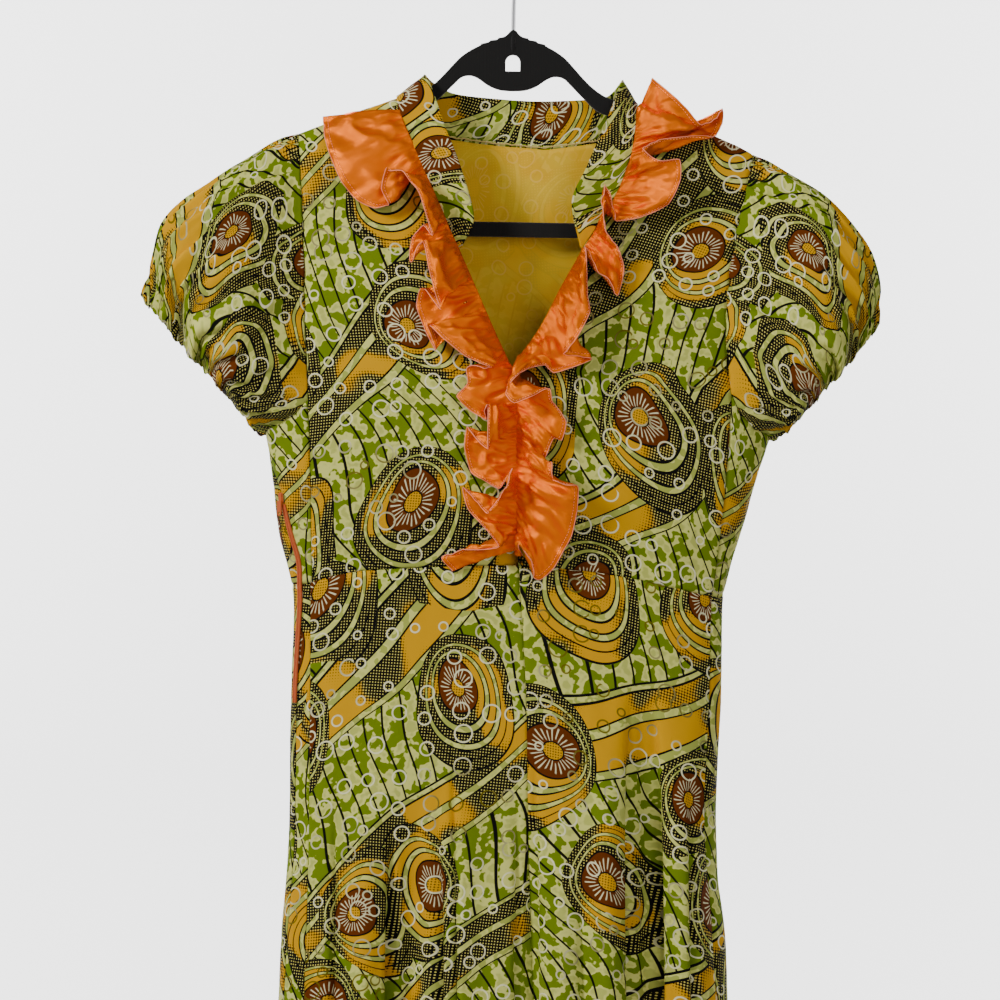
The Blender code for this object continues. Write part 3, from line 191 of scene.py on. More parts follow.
# Rings of a sleeve, from its armhole, at along 0, to its hem, at 1.
Ring = namedtuple("Ring", "along top_x top_height under_x under_height front back bow")
SLEEVE_RINGS = {
    "left": table(Ring,
        (0, -174, -164.8, -200, -406, 34, 24, -18), (0.15, -195, -172, -205, -403, 43, 31, -12),
        (0.3, -219, -187, -209, -400, 50, 37, -7), (0.45, -244, -203, -212, -397, 54, 41, -2),
        (0.6, -267, -220, -214, -394, 54, 42, 2), (0.75, -283, -240, -216, -391, 49, 39, 5),
        (0.88, -290, -272, -218, -388, 39, 31, 5), (1, -297, -298, -220, -385, 33, 26, 2)),
    "right": table(Ring,
        (0, 191, -181.9, 205, -410, 34, 24, -18), (0.15, 212, -192, 210, -407, 43, 31, -12),
        (0.3, 236, -206, 214, -404, 50, 37, -7), (0.45, 257, -222, 217, -401.5, 54, 41, -2),
        (0.6, 272, -241, 220, -399, 54, 42, 2), (0.75, 286, -265, 222, -397, 49, 39, 4),
        (0.88, 291, -294, 224, -395, 39, 31, 4), (1, 289, -321, 226, -393, 33, 26, 2)),
}
# From the left end of the collar, up and round the neck to its right end.
Free = namedtuple("Free", "x depth height")
COLLAR_FREE_EDGE = table(Free,
    (-42, -31, -256), (-32.5, -29.5, -233), (-43.5, -25, -191), (-55, -19, -161), (-62.5, -13.5, -139),
    (-68.5, -7, -122.5), (-71, 0, -117.5), (-69, 6, -119.5), (-62, 10, -125), (-48, 13.5, -131),
    (-20, 15, -134.5), (20, 15, -137), (55, 13, -136), (73, 10, -134), (82, 6, -126), (85, 0, -121.5),
    (82, -8, -130), (76, -14.5, -147), (66.5, -20, -170), (56.5, -25, -193), (45, -29, -222),
    (51.5, -31, -256))
# Free edges of the ruffles: along is a place on the sewn edge, and lift is above the dress.
Wave = namedtuple("Wave", "along x height lift")
FREE_EDGE = {
    "left": table(Wave,
        (0, -153.6, -150.6, 9), (9, -152.8, -165, 10), (18, -146.4, -185.8, 11), (28, -137.6, -205, 11),
        (37, -125.6, -219.4, 10), (45, -111.2, -225.8, 10), (50, -100.8, -223.4, 12),
        (56, -106.4, -209.8, 17), (61, -101.6, -193, 22), (69, -88.8, -198.6, 26), (78, -76.8, -213, 28),
        (86, -71.2, -229, 28), (95, -65.6, -248.2, 23), (100, -72.8, -240.2, 15), (104, -81.6, -249, 9),
        (109, -84, -267.4, 11), (112, -78.4, -259.4, 17), (115, -72.8, -252.2, 22), (126, -68, -275.4, 25),
        (134, -64, -291.4, 26), (143, -58.4, -307.4, 23), (148, -66.4, -297.8, 16),
        (153, -74.4, -288.2, 10), (158, -78.4, -303.4, 8), (164, -71.2, -323.4, 7),
        (171, -62.4, -340.2, 12), (175, -66.4, -328.2, 17), (180, -70.4, -316.2, 23),
        (189, -56.8, -329.8, 28), (200, -39.2, -344.2, 25), (213, -19.2, -353, 21), (218, -29.6, -353, 16),
        (223, -38.4, -354.6, 12), (229, -37.6, -365, 10), (236, -46.4, -375.4, 11), (244, -36, -386.6, 10),
        (252, -23.2, -393.8, 13), (256, -24.8, -386.6, 17), (260, -21.6, -381, 21),
        (266, -21.6, -398.6, 25), (273, -22.4, -416.2, 21), (278, -31.2, -409, 16), (282, -38.4, -401, 12),
        (288, -40, -416.2, 10), (295, -35.2, -435.4, 10), (302, -24, -442.6, 11), (308, -13.6, -448.2, 13),
        (312, -7.2, -440.2, 17), (316, -1.6, -433, 22), (321, -7.2, -447.4, 25), (327, -20.8, -469, 21),
        (331, -30.4, -458.6, 16), (335, -41.6, -448.2, 12), (341, -37.6, -464.2, 13),
        (349, -22.4, -481.8, 17), (354, -12.8, -495.4, 17), (360, -34.4, -498.6, 12),
        (366, -58.4, -503.4, 7), (371, -49.6, -514.6, 6)),
    "right": table(Wave,
        (0, 109.6, -121, 18), (8, 122.4, -132.2, 22), (15, 136, -145, 27), (21, 148, -158.6, 23),
        (26, 160, -155.4, 15), (30, 166.4, -145.8, 9), (32, 165.6, -157, 9), (35, 159.2, -167.4, 10),
        (38, 140, -167.4, 14), (41, 116, -171.4, 20), (44, 101.6, -179.4, 26), (49, 112.8, -188.2, 26),
        (54, 130.4, -187.4, 24), (60, 131.2, -203.4, 22), (67, 121.6, -223.4, 18), (75, 100, -233, 13),
        (81, 81.6, -235.4, 12), (85, 76.8, -221.8, 17), (89, 71.2, -207.4, 22), (94, 69.6, -225.8, 22),
        (99, 72, -244.2, 18), (104, 83.2, -261, 12), (108, 86.4, -275.4, 10), (112, 81.6, -295.4, 11),
        (116, 71.2, -282.6, 17), (120, 61.6, -267.4, 22), (125, 56, -257.8, 26), (132, 56.8, -275.4, 27),
        (139, 56.8, -294.6, 25), (147, 59.2, -309, 24), (155, 50.4, -326.6, 24), (161, 40.8, -341.8, 21),
        (167, 49.6, -343.4, 16), (172, 60, -346.6, 12), (182, 44, -353, 10), (192, 30.4, -357, 10),
        (198, 24, -350.6, 12), (205, 12.8, -353, 16), (211, 3.2, -357, 21), (216, -5.6, -364.2, 25),
        (221, -7.2, -374.6, 27), (226, -0.8, -381, 28), (233, 13.6, -375.4, 27), (240, 27.2, -369, 24),
        (246, 29.6, -381, 20), (252, 40, -397, 15), (256, 36.8, -410.6, 12), (260, 30.4, -409, 11),
        (266, 24.8, -421.8, 11), (272, 19.2, -433.8, 13), (278, 24, -430.6, 18), (284, 28.8, -427.4, 24),
        (289, 28.8, -436.2, 27), (294, 30.4, -443.4, 27), (300, 39.2, -447.4, 25), (306, 49.6, -451.4, 22),
        (314, 48.8, -467.4, 19), (322, 44.8, -485.8, 16), (332, 37.6, -499.4, 14), (340, 30.4, -512.2, 13),
        (347, 20, -521, 14), (352, 15.2, -510.6, 20), (358, 8.8, -500.2, 22), (366, 2.4, -492.2, 20),
        (376, 5.6, -502.6, 10)),
}
# ---------------------------------------------------------------- reading the tables
class Curve:
    """Smooth curve through one column of a table, against another column or the row's number."""

    def __init__(self, rows, key, column):
        spots = np.array([getattr(row, key) for row in rows] if key else range(len(rows)), float)
        order = np.argsort(spots)
        self.spots = spots[order]
        self.values = np.array([getattr(row, column) for row in rows], float)[order]
        steps = np.diff(self.values) / np.diff(self.spots)
        before, after = steps[:-1], steps[1:]
        inner = np.divide(2.0 * before * after, before + after,
                          out=np.zeros_like(before), where=before * after > 0)
        self.slopes = np.concatenate([steps[:1], inner, steps[-1:]])

    def __call__(self, spot):
        spot = np.clip(spot, self.spots[0], self.spots[-1])
        number = np.clip(np.searchsorted(self.spots, spot) - 1, 0, len(self.spots) - 2)
        span = self.spots[number + 1] - self.spots[number]
        share = (spot - self.spots[number]) / span
        square, cube = share ** 2, share ** 3
        return ((2 * cube - 3 * square + 1) * self.values[number]
                + (cube - 2 * square + share) * span * self.slopes[number]
                + (3 * square - 2 * cube) * self.values[number + 1]
                + (cube - square) * span * self.slopes[number + 1])


def curves(rows, key, columns):
    return {column: Curve(rows, key, column) for column in columns}


def ease(share):
    """0 to 1 with level ends."""
    share = np.clip(share, 0.0, 1.0)
    return share * share * (3.0 - 2.0 * share)


def mix(start, end, share):
    return start + (end - start) * share


def signed_power(value, power):
    return np.abs(value) ** power * np.where(np.asarray(value) >= 0.0, 1.0, -1.0)


def stacked(*columns):
    """Points from their columns."""
    return np.stack(np.broadcast_arrays(*columns), axis=-1)


def unit(vectors):
    """The vectors' directions, at length 1."""
    return vectors / np.maximum(np.linalg.norm(vectors, axis=-1, keepdims=True), 1e-9)


def between(rows, position):
    """Rows of a list at places counted along it, which can lie between two rows."""
    number = np.clip(position.astype(int), 0, len(rows) - 2)
    part = (position - number)[..., None]
    return rows[number] * (1.0 - part) + rows[number + 1] * part


def normals_of(points):
    """Normals of a grid, from its rows and columns."""
    return unit(np.cross(np.gradient(points, axis=1), np.gradient(points, axis=0)))


def arc_lengths(points, axis):
    """Length along the rows or columns of a grid, from their first point."""
    steps = np.linalg.norm(np.diff(points, axis=axis), axis=-1)
    start = np.zeros_like(np.take(steps, [0], axis=axis))
    return np.concatenate([start, np.cumsum(steps, axis=axis)], axis=axis)


def along_line(spots, run, points):
    """Points of a line at lengths along it."""
    return stacked(*(np.interp(spots, run, points[:, axis]) for axis in range(points.shape[1])))


def laid_flat(points):
    """Places of a grid's points on its flat cloth."""
    return stacked(arc_lengths(points, 1), arc_lengths(points, 0))


def smooth_rows(rows, fine, roundness=1.0):
    """Rows on a curve through a table's rows: straight at roundness 0, smooth at 1."""
    rows = np.array(rows, float)
    ends = np.concatenate([rows[:1], rows, rows[-1:]])[:, None]
    before, start, end, after = ends[:-3], ends[1:-2], ends[2:-1], ends[3:]
    part = (np.arange(fine) / fine)[None, :, None]
    curve = (2.0 * start + (end - before) * part
             + (2.0 * before - 5.0 * start + 4.0 * end - after) * part ** 2
             + (3.0 * start - before - 3.0 * end + after) * part ** 3) / 2.0
    curve = mix(mix(start, end, part), curve, roundness)
    return np.concatenate([curve.reshape(-1, rows.shape[1]), rows[-1:]])


def lattice(points, seed):
    """Smooth noise from -1 to 1 at points of two or three numbers."""
    points = np.asarray(points, float)
    low = np.floor(points).astype(np.int64)
    part = points - low
    part = part * part * (3.0 - 2.0 * part)
    total = 0.0
    for corner in range(2 ** points.shape[-1]):
        bits = [(corner >> axis) & 1 for axis in range(points.shape[-1])]
        code = np.full(low.shape[:-1], seed * 7919, np.int64)
        weight = np.ones(low.shape[:-1])
        for axis, bit in enumerate(bits):
            code = (code * 374761393 + (low[..., axis] + bit) * 668265263 + 1442695041) & 0xFFFFFFFF
            code = (code ^ (code >> 13)) & 0xFFFFFFFF
            weight = weight * (part[..., axis] if bit else 1.0 - part[..., axis])
        code = (code * 1274126177) & 0xFFFFFFFF
        total = total + weight * ((code ^ (code >> 16)) & 0xFFFF) / 32767.5
    return total - 1.0


# ---------------------------------------------------------------- the dress's outer surface
SHOULDER = Curve(NECK_RISE + tuple(Across(row.x, row.height + CLOTH_OVER_ARM)
                                   for row in ARM_TOP if row.x > ARM_START), "x", "height")
HALF_WIDTH = curves(SECTIONS, "height", SIDES)
DEPTH = curves(SECTIONS, "height", ("front", "back"))
SIDE_ANGLE = curves(SIDE_SEAMS, "height", SIDES)
PRINCESS = {side: Curve(PRINCESS_SEAM[side], "height", "x") for side in SIDES}
V_EDGE = {side: Curve(V_FRONT[side], "height", "x") for side in SIDES}
CENTRE = Curve(CENTRE_SEAM, "height", "x")
WAIST = Curve(WAIST_SEAM, "x", "height")
FOLD_GROWTH = 2.8          # a fold is at its full depth after one part in this of its length
FOLD_NARROWNESS = 1.6
FOLD_REACH = 1.6           # how near the side seams the folds keep their depth


def shoulder_height(x):
    """Height of the shoulder line, which follows the hanger's tilted arms."""
    upright = x + TILT_HEIGHT * sin(HANGER_TILT)
    return SHOULDER(np.abs(upright)) - upright * sin(HANGER_TILT)


def half_width(x, height):
    return np.where(np.asarray(x) < 0, HALF_WIDTH["left"](height), HALF_WIDTH["right"](height))


def angle_at(x, height):
    """Angle of the front point with this x. The back point has the opposite angle."""
    return np.arccos(signed_power(np.clip(x / half_width(x, height), -1.0, 1.0), ROUNDNESS / 2.0))


def folds_at(x, height, folds):
    """Sum of the folds' depths at places on the skirt."""
    total = np.zeros(np.broadcast(x, height).shape)
    for fold in folds:
        down = np.clip((height - fold.start) / (HEM_HEIGHT - fold.start), 0.0, 1.0)
        offset = (x - mix(fold.x_top, fold.x_hem, down)) / fold.half_width
        total += fold.depth * ease(down * FOLD_GROWTH) * np.exp(-FOLD_NARROWNESS * offset * offset)
    return total


def body(angle, height):
    """Points of the dress's outer surface, in mm."""
    angle, height = np.broadcast_arrays(np.asarray(angle, float), np.asarray(height, float))
    across = signed_power(np.cos(angle), 2.0 / ROUNDNESS)
    x = across * half_width(across, height)
    drop = np.clip(shoulder_height(x) - height, 0.0, SHOULDER_ROUND)
    rounding = np.sqrt(1.0 - (1.0 - drop / SHOULDER_ROUND) ** 2)
    in_front = np.sin(angle) >= 0
    depth = np.where(in_front, DEPTH["front"](height), DEPTH["back"](height))
    depth = depth * rounding * np.abs(np.sin(angle)) ** (2.0 / ROUNDNESS)
    folds = np.where(in_front, folds_at(x, height, FRONT_FOLDS), folds_at(x, height, BACK_FOLDS))
    depth += folds * ease(np.abs(np.sin(angle)) * FOLD_REACH)
    return stacked(x, np.where(in_front, -depth, depth), height)


def front_depth(x, height):
    return -body(angle_at(x, height), height)[..., 1]


# ---------------------------------------------------------------- seams, as places (angle, height)
def on_front(place):
    return np.array([angle_at(place.x, place.height), place.height], float)


def on_back(place):
    return np.array([-angle_at(place.x, place.height), place.height], float)


def armhole_nodes(side):
    """Where bodice and sleeve meet, from the shoulder tip to the underarm."""
    nodes = np.array(ARMHOLE_NODES)
    xs, heights = (Curve(ARMHOLE[side], None, column)(nodes) for column in ("x", "height"))
    heights[0] = shoulder_height(xs[0])
    return [Across(x, height) for x, height in zip(xs.tolist(), heights.tolist())]


def waist_place(angle):
    """Places on the waist seam at angles, from the back's height to the front's."""
    x = body(angle, WAIST_SEAM_BACK)[..., 0]
    return stacked(angle, mix(WAIST_SEAM_BACK, WAIST(x), ease(np.sin(angle) * 2.0 + 0.6)))


def waist_corner(seam_angle):
    """Where a seam meets the waist."""
    place = waist_place(seam_angle(WAIST_SEAM_BACK))
    return waist_place(seam_angle(place[1]))


def princess_angle(side, sewn=None):
    way = -1.0 if sewn is on_back else 1.0
    return lambda height: way * angle_at(PRINCESS[side](height), height)


def side_seam_angle(side, from_back=False):
    turn = 2.0 * pi if side == "left" and from_back else 0.0
    return lambda height: np.radians(SIDE_ANGLE[side](height)) - turn


def centre_angle(height):
    return angle_at(CENTRE(height), height)


def shoulder_places(side, sewn=on_front, count=5):
    """Places on the shoulder line from the tip to the neck point."""
    xs = np.linspace(ARMHOLE[side][0].x, V_FRONT[side][-1].x, count + 1)
    return [sewn(Across(x, float(shoulder_height(x)))) for x in xs]


def seam_down(seam_angle, start, end, count=8):
    heights = np.linspace(start, end, count + 1)
    return list(stacked(seam_angle(heights), heights))


def waist_between(start_angle, end_angle, count):
    return list(waist_place(np.linspace(start_angle, end_angle, count + 1)))


def straight(start, end, count):
    return list(np.linspace(start, end, count + 1))


def patch(*edges):
    """Surface between four edges: foot and top run across, start and end run up.

    Each edge is a function of a share from 0 to 1, or a list of places.
    """
    foot, top, start, end = (edge if callable(edge) else evenly(edge) for edge in edges)

    def place(across, up):
        wide, tall = across[..., None], up[..., None]
        zero, one = np.zeros(1), np.ones(1)
        low = start(zero) * (1 - wide) + end(zero) * wide
        high = start(one) * (1 - wide) + end(one) * wide
        return (start(up) * (1 - wide) + end(up) * wide + foot(across) * (1 - tall) + top(across) * tall
                - low * (1 - tall) - high * tall)
    return place


def evenly(places):
    """Edge from 0 to 1 through evenly counted places."""
    places = np.array(places, float)
    return lambda share: between(places, np.asarray(share, float) * (len(places) - 1))


# ---------------------------------------------------------------- cloth panels
Piece = namedtuple("Piece", "points cloth")
# How finely each piece is made, and where its noises start.
Fine = namedtuple("Fine", "columns rows seed")
FINENESS = {
    "bodice_front": Fine(40, 144, 11), "bodice_side": Fine(12, 48, 21), "bodice_back": Fine(95, 100, 31),
    "bodice_back_side": Fine(12, 48, 31), "lining_back": Fine(80, 80, 91),
    "skirt_front_left": Fine(160, 150, 41), "skirt_front_right": Fine(160, 150, 51),
    "skirt_back": Fine(190, 150, 61), "skirt_side_left": Fine(12, 150, 71),
    "skirt_side_right": Fine(12, 150, 81),
}
# Where pieces are cut from the printed cloth. The others' places follow from their seeds.
HALF_CUTS = {"left": (240.0, 90.0), "right": (655.0, 310.0)}
CUT_STEPS = np.array([97.0, 61.0])
CUT_RANGE = np.array([610.0, 470.0])
# Soft creases: sizes across and down, lean, and share of the setting's depth.
Crease = namedtuple("Crease", "across down lean share")
COTTON_CREASES = table(Crease, (26, 170, 0, 1), (12, 90, 0, 0.5), (24, 80, 0.5, 0.45), (9, 9, 0, 0.14))
# How far from a seam it stills the creases and folds, puckers the cloth and draws it in.
CREASE_FADE = 14.0
FOLD_FADE = 6.0
PUCKER_REACH = 9.0
PUCKER_SIZE = 3.6
GROOVE_REACH = 2.4
CREASE_AT_SEAM = 0.15      # share of the creases' depth left at a seam


def add_object(name, data):
    made = bpy.data.objects.new(name, data)
    bpy.context.scene.collection.objects.link(made)
    return made


def add_mesh(name, pieces, finish, wall=0.0):
    """Object from grids of points in mm, each with its places on the flat cloth."""
    corners, uvs, faces = [], [], []
    count = 0
    for piece in pieces:
        rows, columns = piece.points.shape[:2]
        numbers = count + np.arange(rows * columns).reshape(rows, columns)
        faces.append(stacked(numbers[:-1, :-1], numbers[:-1, 1:], numbers[1:, 1:],
                             numbers[1:, :-1]).reshape(-1, 4))
        corners.append(piece.points.reshape(-1, 3))
        uvs.append(piece.cloth.reshape(-1, 2))
        count += rows * columns
    corners, uvs, faces = np.concatenate(corners), np.concatenate(uvs), np.concatenate(faces)
    # points at one place are one corner, and faces that this closes are left out
    _, first, same = np.unique(np.round(corners, 2), axis=0, return_index=True, return_inverse=True)
    welded = same.reshape(-1)[faces]
    whole = np.array([len(set(face)) == 4 for face in welded.tolist()])
    mesh = bpy.data.meshes.new(name)
    mesh.from_pydata((corners[first] * MM).tolist(), [], welded[whole].tolist())
    layer = mesh.uv_layers.new(name="cloth")
    layer.data.foreach_set("uv", (uvs[faces[whole]].reshape(-1) * MM).astype(np.float32))
    mesh.update()
    mesh.shade_smooth()
    mesh.materials.append(finish)
    made = add_object(name, mesh)
    if wall:
        solid = made.modifiers.new("cloth wall", "SOLIDIFY")
        solid.thickness = wall * MM
        solid.offset = -1.0
    return made


def worn(points, seed, settings):
    """Soft creases of hung cotton: long upright ones, slanting ones and small puckers."""
    x, height = points[..., 0], points[..., 2]
    total = 0.0
    for number, crease in enumerate(COTTON_CREASES):
        spots = stacked((x + crease.lean * height) / crease.across,
                        (height - crease.lean * x) / crease.down)
        total = total + crease.share * lattice(spots, seed + number)
    return settings.crease_depth * total


def panel(place, name, outward, settings, seams=(1, 1, 1, 1), sink=0.0, cut=None):
    """Fine grid of one cut piece: creased, and drawn in along its seams (foot, top, start, end).

    The cut is where the piece lies on the printed cloth, in mm.
    """
    columns, rows, seed = FINENESS[name]
    across, up = np.meshgrid(np.linspace(0, 1, columns + 1), np.linspace(0, 1, rows + 1))
    places = place(across, up)
    points = body(places[..., 0], places[..., 1])
    normals = normals_of(points) * outward
    cloth = laid_flat(points)
    cloth[..., 0] -= cloth[..., -1:, 0] / 2.0
    up_way = 1.0 if points[0, 0, 2] < points[-1, 0, 2] else -1.0
    cloth *= np.array([outward * up_way, up_way])
    cloth += seed * CUT_STEPS % CUT_RANGE if cut is None else np.array(cut)
    near = np.full(across.shape, np.inf)
    for sewn, reach, axis in zip(seams, (up, 1 - up, across, 1 - across), (0, 0, 1, 1)):
        if sewn:
            near = np.minimum(near, reach * arc_lengths(points, axis).max())
    creases = np.where(points[..., 1] < 0, folds_at(points[..., 0], points[..., 2], CREASES), 0.0)
    pucker = (1 - ease(near / PUCKER_REACH)) * lattice(points / PUCKER_SIZE, seed + 5)
    offset = (worn(points, seed, settings) * mix(CREASE_AT_SEAM, 1.0, ease(near / CREASE_FADE))
              + settings.pucker_depth * pucker
              - settings.seam_depth * (1 - ease(near / GROOVE_REACH)) - sink
              + settings.fold_depth * creases * ease(near / FOLD_FADE))
    return Piece(points + normals * offset[..., None], cloth)


def princess_edge(sewn, side):
    """Places up the princess seam and the armhole to the shoulder."""
    armhole = armhole_nodes(side)[:PRINCESS_NODE + 1]
    line = princess_angle(side, sewn)
    rise = seam_down(line, waist_corner(line)[1], armhole[-1].height)
    return rise[:-1] + [sewn(node) for node in reversed(armhole)]


def underarm(sewn, side, name, settings):
    """Narrow panel between the princess seam and the side seam."""
    armhole = armhole_nodes(side)[PRINCESS_NODE:]
    line = princess_angle(side, sewn)
    seam = side_seam_angle(side, from_back=sewn is on_back)
    foot, seam_foot = waist_corner(line), waist_corner(seam)
    place = patch(waist_between(foot[0], seam_foot[0], len(armhole) - 1), [sewn(node) for node in armhole],
                  seam_down(line, foot[1], armhole[0].height),
                  seam_down(seam, seam_foot[1], armhole[-1].height))
    outward = 1.0 if (side == "right") == (sewn is on_front) else -1.0
    return panel(place, name, outward, settings)


def build_bodice(settings, finishes):
    """Front, sides and back of the bodice."""
    made = {"bodice_front": []}
    for side in SIDES:
        start = princess_edge(on_front, side)
        centre = waist_corner(centre_angle)
        end = straight(centre, on_front(V_FRONT[side][0]), 8)[:-1]
        end += [on_front(node) for node in V_FRONT[side][:-1]] + [shoulder_places(side)[-1]]
        place = patch(waist_between(start[0][0], centre[0], 5), shoulder_places(side), start, end)
        made["bodice_front"].append(panel(place, "bodice_front", 1.0 if side == "left" else -1.0, settings,
                                          seams=(1, 1, 1, 0), cut=HALF_CUTS[side]))
    for side in SIDES:
        made[f"bodice_side_{side}"] = [underarm(on_front, side, "bodice_side", settings)]
    start, end = (princess_edge(on_back, side) for side in SIDES)
    neck = [on_back(node) for node in NECK_BACK[1:-1]]
    top = shoulder_places("left", on_back) + neck + shoulder_places("right", on_back)[::-1]
    place = patch(waist_between(start[0][0], end[0][0], len(top) - 1), top, start, end)
    made["bodice_back"] = [panel(place, "bodice_back", -1.0, settings, seams=(1, 1, 0, 0))]
    made["bodice_back"] += [underarm(on_back, side, "bodice_back_side", settings) for side in SIDES]
    return {name: add_mesh(name + "_cloth", pieces, finishes["print"], settings.cotton_wall)
            for name, pieces in made.items()}


def skirt_place(start_angle, end_angle, columns):
    """Surface of a skirt panel between two seams."""
    start, end = waist_corner(start_angle), waist_corner(end_angle)

    def seam(angle, waist):
        def edge(down):
            height = mix(waist, HEM_HEIGHT, np.asarray(down, float))
            return stacked(angle(height), height)
        return edge
    hem = [np.array([float(angle(HEM_HEIGHT)), HEM_HEIGHT]) for angle in (start_angle, end_angle)]
    return patch(waist_between(start[0], end[0], columns), hem,
                 seam(start_angle, start[1]), seam(end_angle, end[1]))


def build_skirt(settings, finishes):
    """Two front panels with the seam between them, two narrow side panels and the back."""
    wanted = {
        # name: (start, end, parts of the waist seam, outward way)
        "skirt_front_left": (princess_angle("left"), centre_angle, 5, -1.0),
        "skirt_front_right": (centre_angle, princess_angle("right"), 5, -1.0),
        "skirt_back": (side_seam_angle("left", from_back=True), side_seam_angle("right"), 19, 1.0),
        "skirt_side_left": (princess_angle("left"), side_seam_angle("left"), 3, 1.0),
        "skirt_side_right": (princess_angle("right"), side_seam_angle("right"), 3, -1.0),
    }
    made = {}
    for name, (start, end, columns, outward) in wanted.items():
        piece = panel(skirt_place(start, end, columns), name, outward, settings, seams=(1, 0, 1, 1))
        made[name] = add_mesh(name + "_cloth", [piece], finishes["print"], settings.cotton_wall)
    return made


def build_lining(settings, finishes):
    """Thin layer inside the back, soft and a little slack."""
    top = [on_back(node) for node in LINING_TOP]
    start, end = ([on_back(Across(row.x, row.height)) for row in LINING_SIDE[side]] for side in SIDES)
    place = patch(straight(start[0], end[0], len(top) - 1), top, start, end)
    piece = panel(place, "lining_back", -1.0, settings, seams=(0, 0, 0, 0), sink=COTTON_WALL + LINING_GAP)
    return {"lining_back": add_mesh("lining_back_cloth", [piece], finishes["voile"], LINING_WALL)}


# ---------------------------------------------------------------- sleeves
SLEEVE_COLUMNS = 180       # from the shoulder to the underarm, on each face
SLEEVE_ROWS = 81
SLEEVE_ROUND = 0.85        # power of the rings' sines, 1 being an ellipse
SLEEVE_CUT = (37.0, 61.0)  # where a sleeve is cut from the printed cloth
PRINT_ROW = 40             # row that the print's spacing round a sleeve is taken from
HEAD_WAVES = 12            # waves round a sleeve
BROAD_WAVES = 17
FINE_WAVES = 34
NOISE_ROUND = 5.2          # a sleeve's size round and along, in its noises' measure
NOISE_ALONG = 1.2
# Noises over a sleeve: how fine they are round and along it, and their seed.
LapNoise = namedtuple("LapNoise", "round along seed")
SLEEVE_NOISES = {
    "drift": LapNoise(1.0, 1.0, 201),
    "crush": LapNoise(1.6, 5.0, 207),
    "uneven": LapNoise(2.4, 0.8, 211),
    "wander": LapNoise(3.2, 0.0, 213),
}
DRIFT = 0.9
FINE_DRIFT = 3.4           # how far the drift moves the waves on, as angles
BROAD_DRIFT = 5.0
BROAD_LEAN = 1.5           # how far the broad waves slant along the sleeve, as an angle
LEAST_GATHER = 0.4         # the fine gathers' least depth, and how far it can grow
MORE_GATHER = 1.5
BROAD_GATHER = 3.4         # depths against the setting's
FINE_HEAD_GATHER = 1.2
FINE_HEM_GATHER = 2.6
BLOUSING = 2.2             # depths in mm
CRUSH = 3.8
ELASTIC_GROOVE = 2.4
ELASTIC_AT = 0.92          # the elastic's place and half width, as parts of the sleeve
ELASTIC_HALF = 0.025
HEM_REACH = 3.6            # how far the hem's edge wanders along the sleeve
HEM_REACH_BACK = 1.0
FINE_SQUEEZE = 3.0         # how far the folds draw in the print
BROAD_SQUEEZE = 5.0


def sleeve_points(side, rings, along, turn):
    """Points of a sleeve's rings, without its gathers."""
    top = stacked(rings["top_x"](along), 0.0, rings["top_height"](along))
    under = stacked(rings["under_x"](along), 0.0, rings["under_height"](along))
    down = signed_power(np.cos(turn), SLEEVE_ROUND)
    out = signed_power(np.sin(turn), SLEEVE_ROUND)
    line = unit(under - top)
    away = stacked(line[..., 2], 0.0, -line[..., 0]) * (1.0 if side == "left" else -1.0)
    depth = np.where(out >= 0, rings["front"](along), rings["back"](along))
    points = mix(top, under, ((1.0 - down) / 2.0)[..., None])
    points = points + away * (rings["bow"](along) * out * out)[..., None]
    points[..., 1] = -depth * out
    return points


def sleeve_grid(side):
    """Smooth surface of a sleeve, from the armhole's points to its rings, and the ways out of it."""
    rings = curves(SLEEVE_RINGS[side], "along", Ring._fields[1:])
    nodes = armhole_nodes(side)
    column = np.arange(2 * SLEEVE_COLUMNS + 1)
    way = np.where(column <= SLEEVE_COLUMNS, 1, -1)
    position = np.minimum(column, 2 * SLEEVE_COLUMNS - column) * (len(nodes) - 1) / SLEEVE_COLUMNS
    seams = {}
    for face in (1, -1):
        places = np.array([(face * float(angle_at(*node)), node.height) for node in nodes])
        seams[face] = between(body(places[:, 0], places[:, 1]), position)
    seam = np.where((way == 1)[:, None], seams[1], seams[-1])
    number = np.interp(position, np.arange(len(nodes)), ARMHOLE_NODES)
    seam_turn = way * pi * number / ARMHOLE_NODES[-1]
    even_turn = way * pi * position / (len(nodes) - 1)
    along, seam_turn, even_turn = np.broadcast_arrays(
        np.linspace(0, 1, SLEEVE_ROWS)[:, None], seam_turn[None], even_turn[None])
    points = sleeve_points(side, rings, along, mix(seam_turn, even_turn, ease(along / 0.6)))
    grown = seam + points - sleeve_points(side, rings, 0 * along, seam_turn)
    points = mix(grown, points, ease(along / 0.5)[..., None])
    centre = (sleeve_points(side, rings, along, 0 * along)
              + sleeve_points(side, rings, along, 0 * along + pi)) / 2
    return points, unit(points - centre), along, column[None] / (2.0 * SLEEVE_COLUMNS)


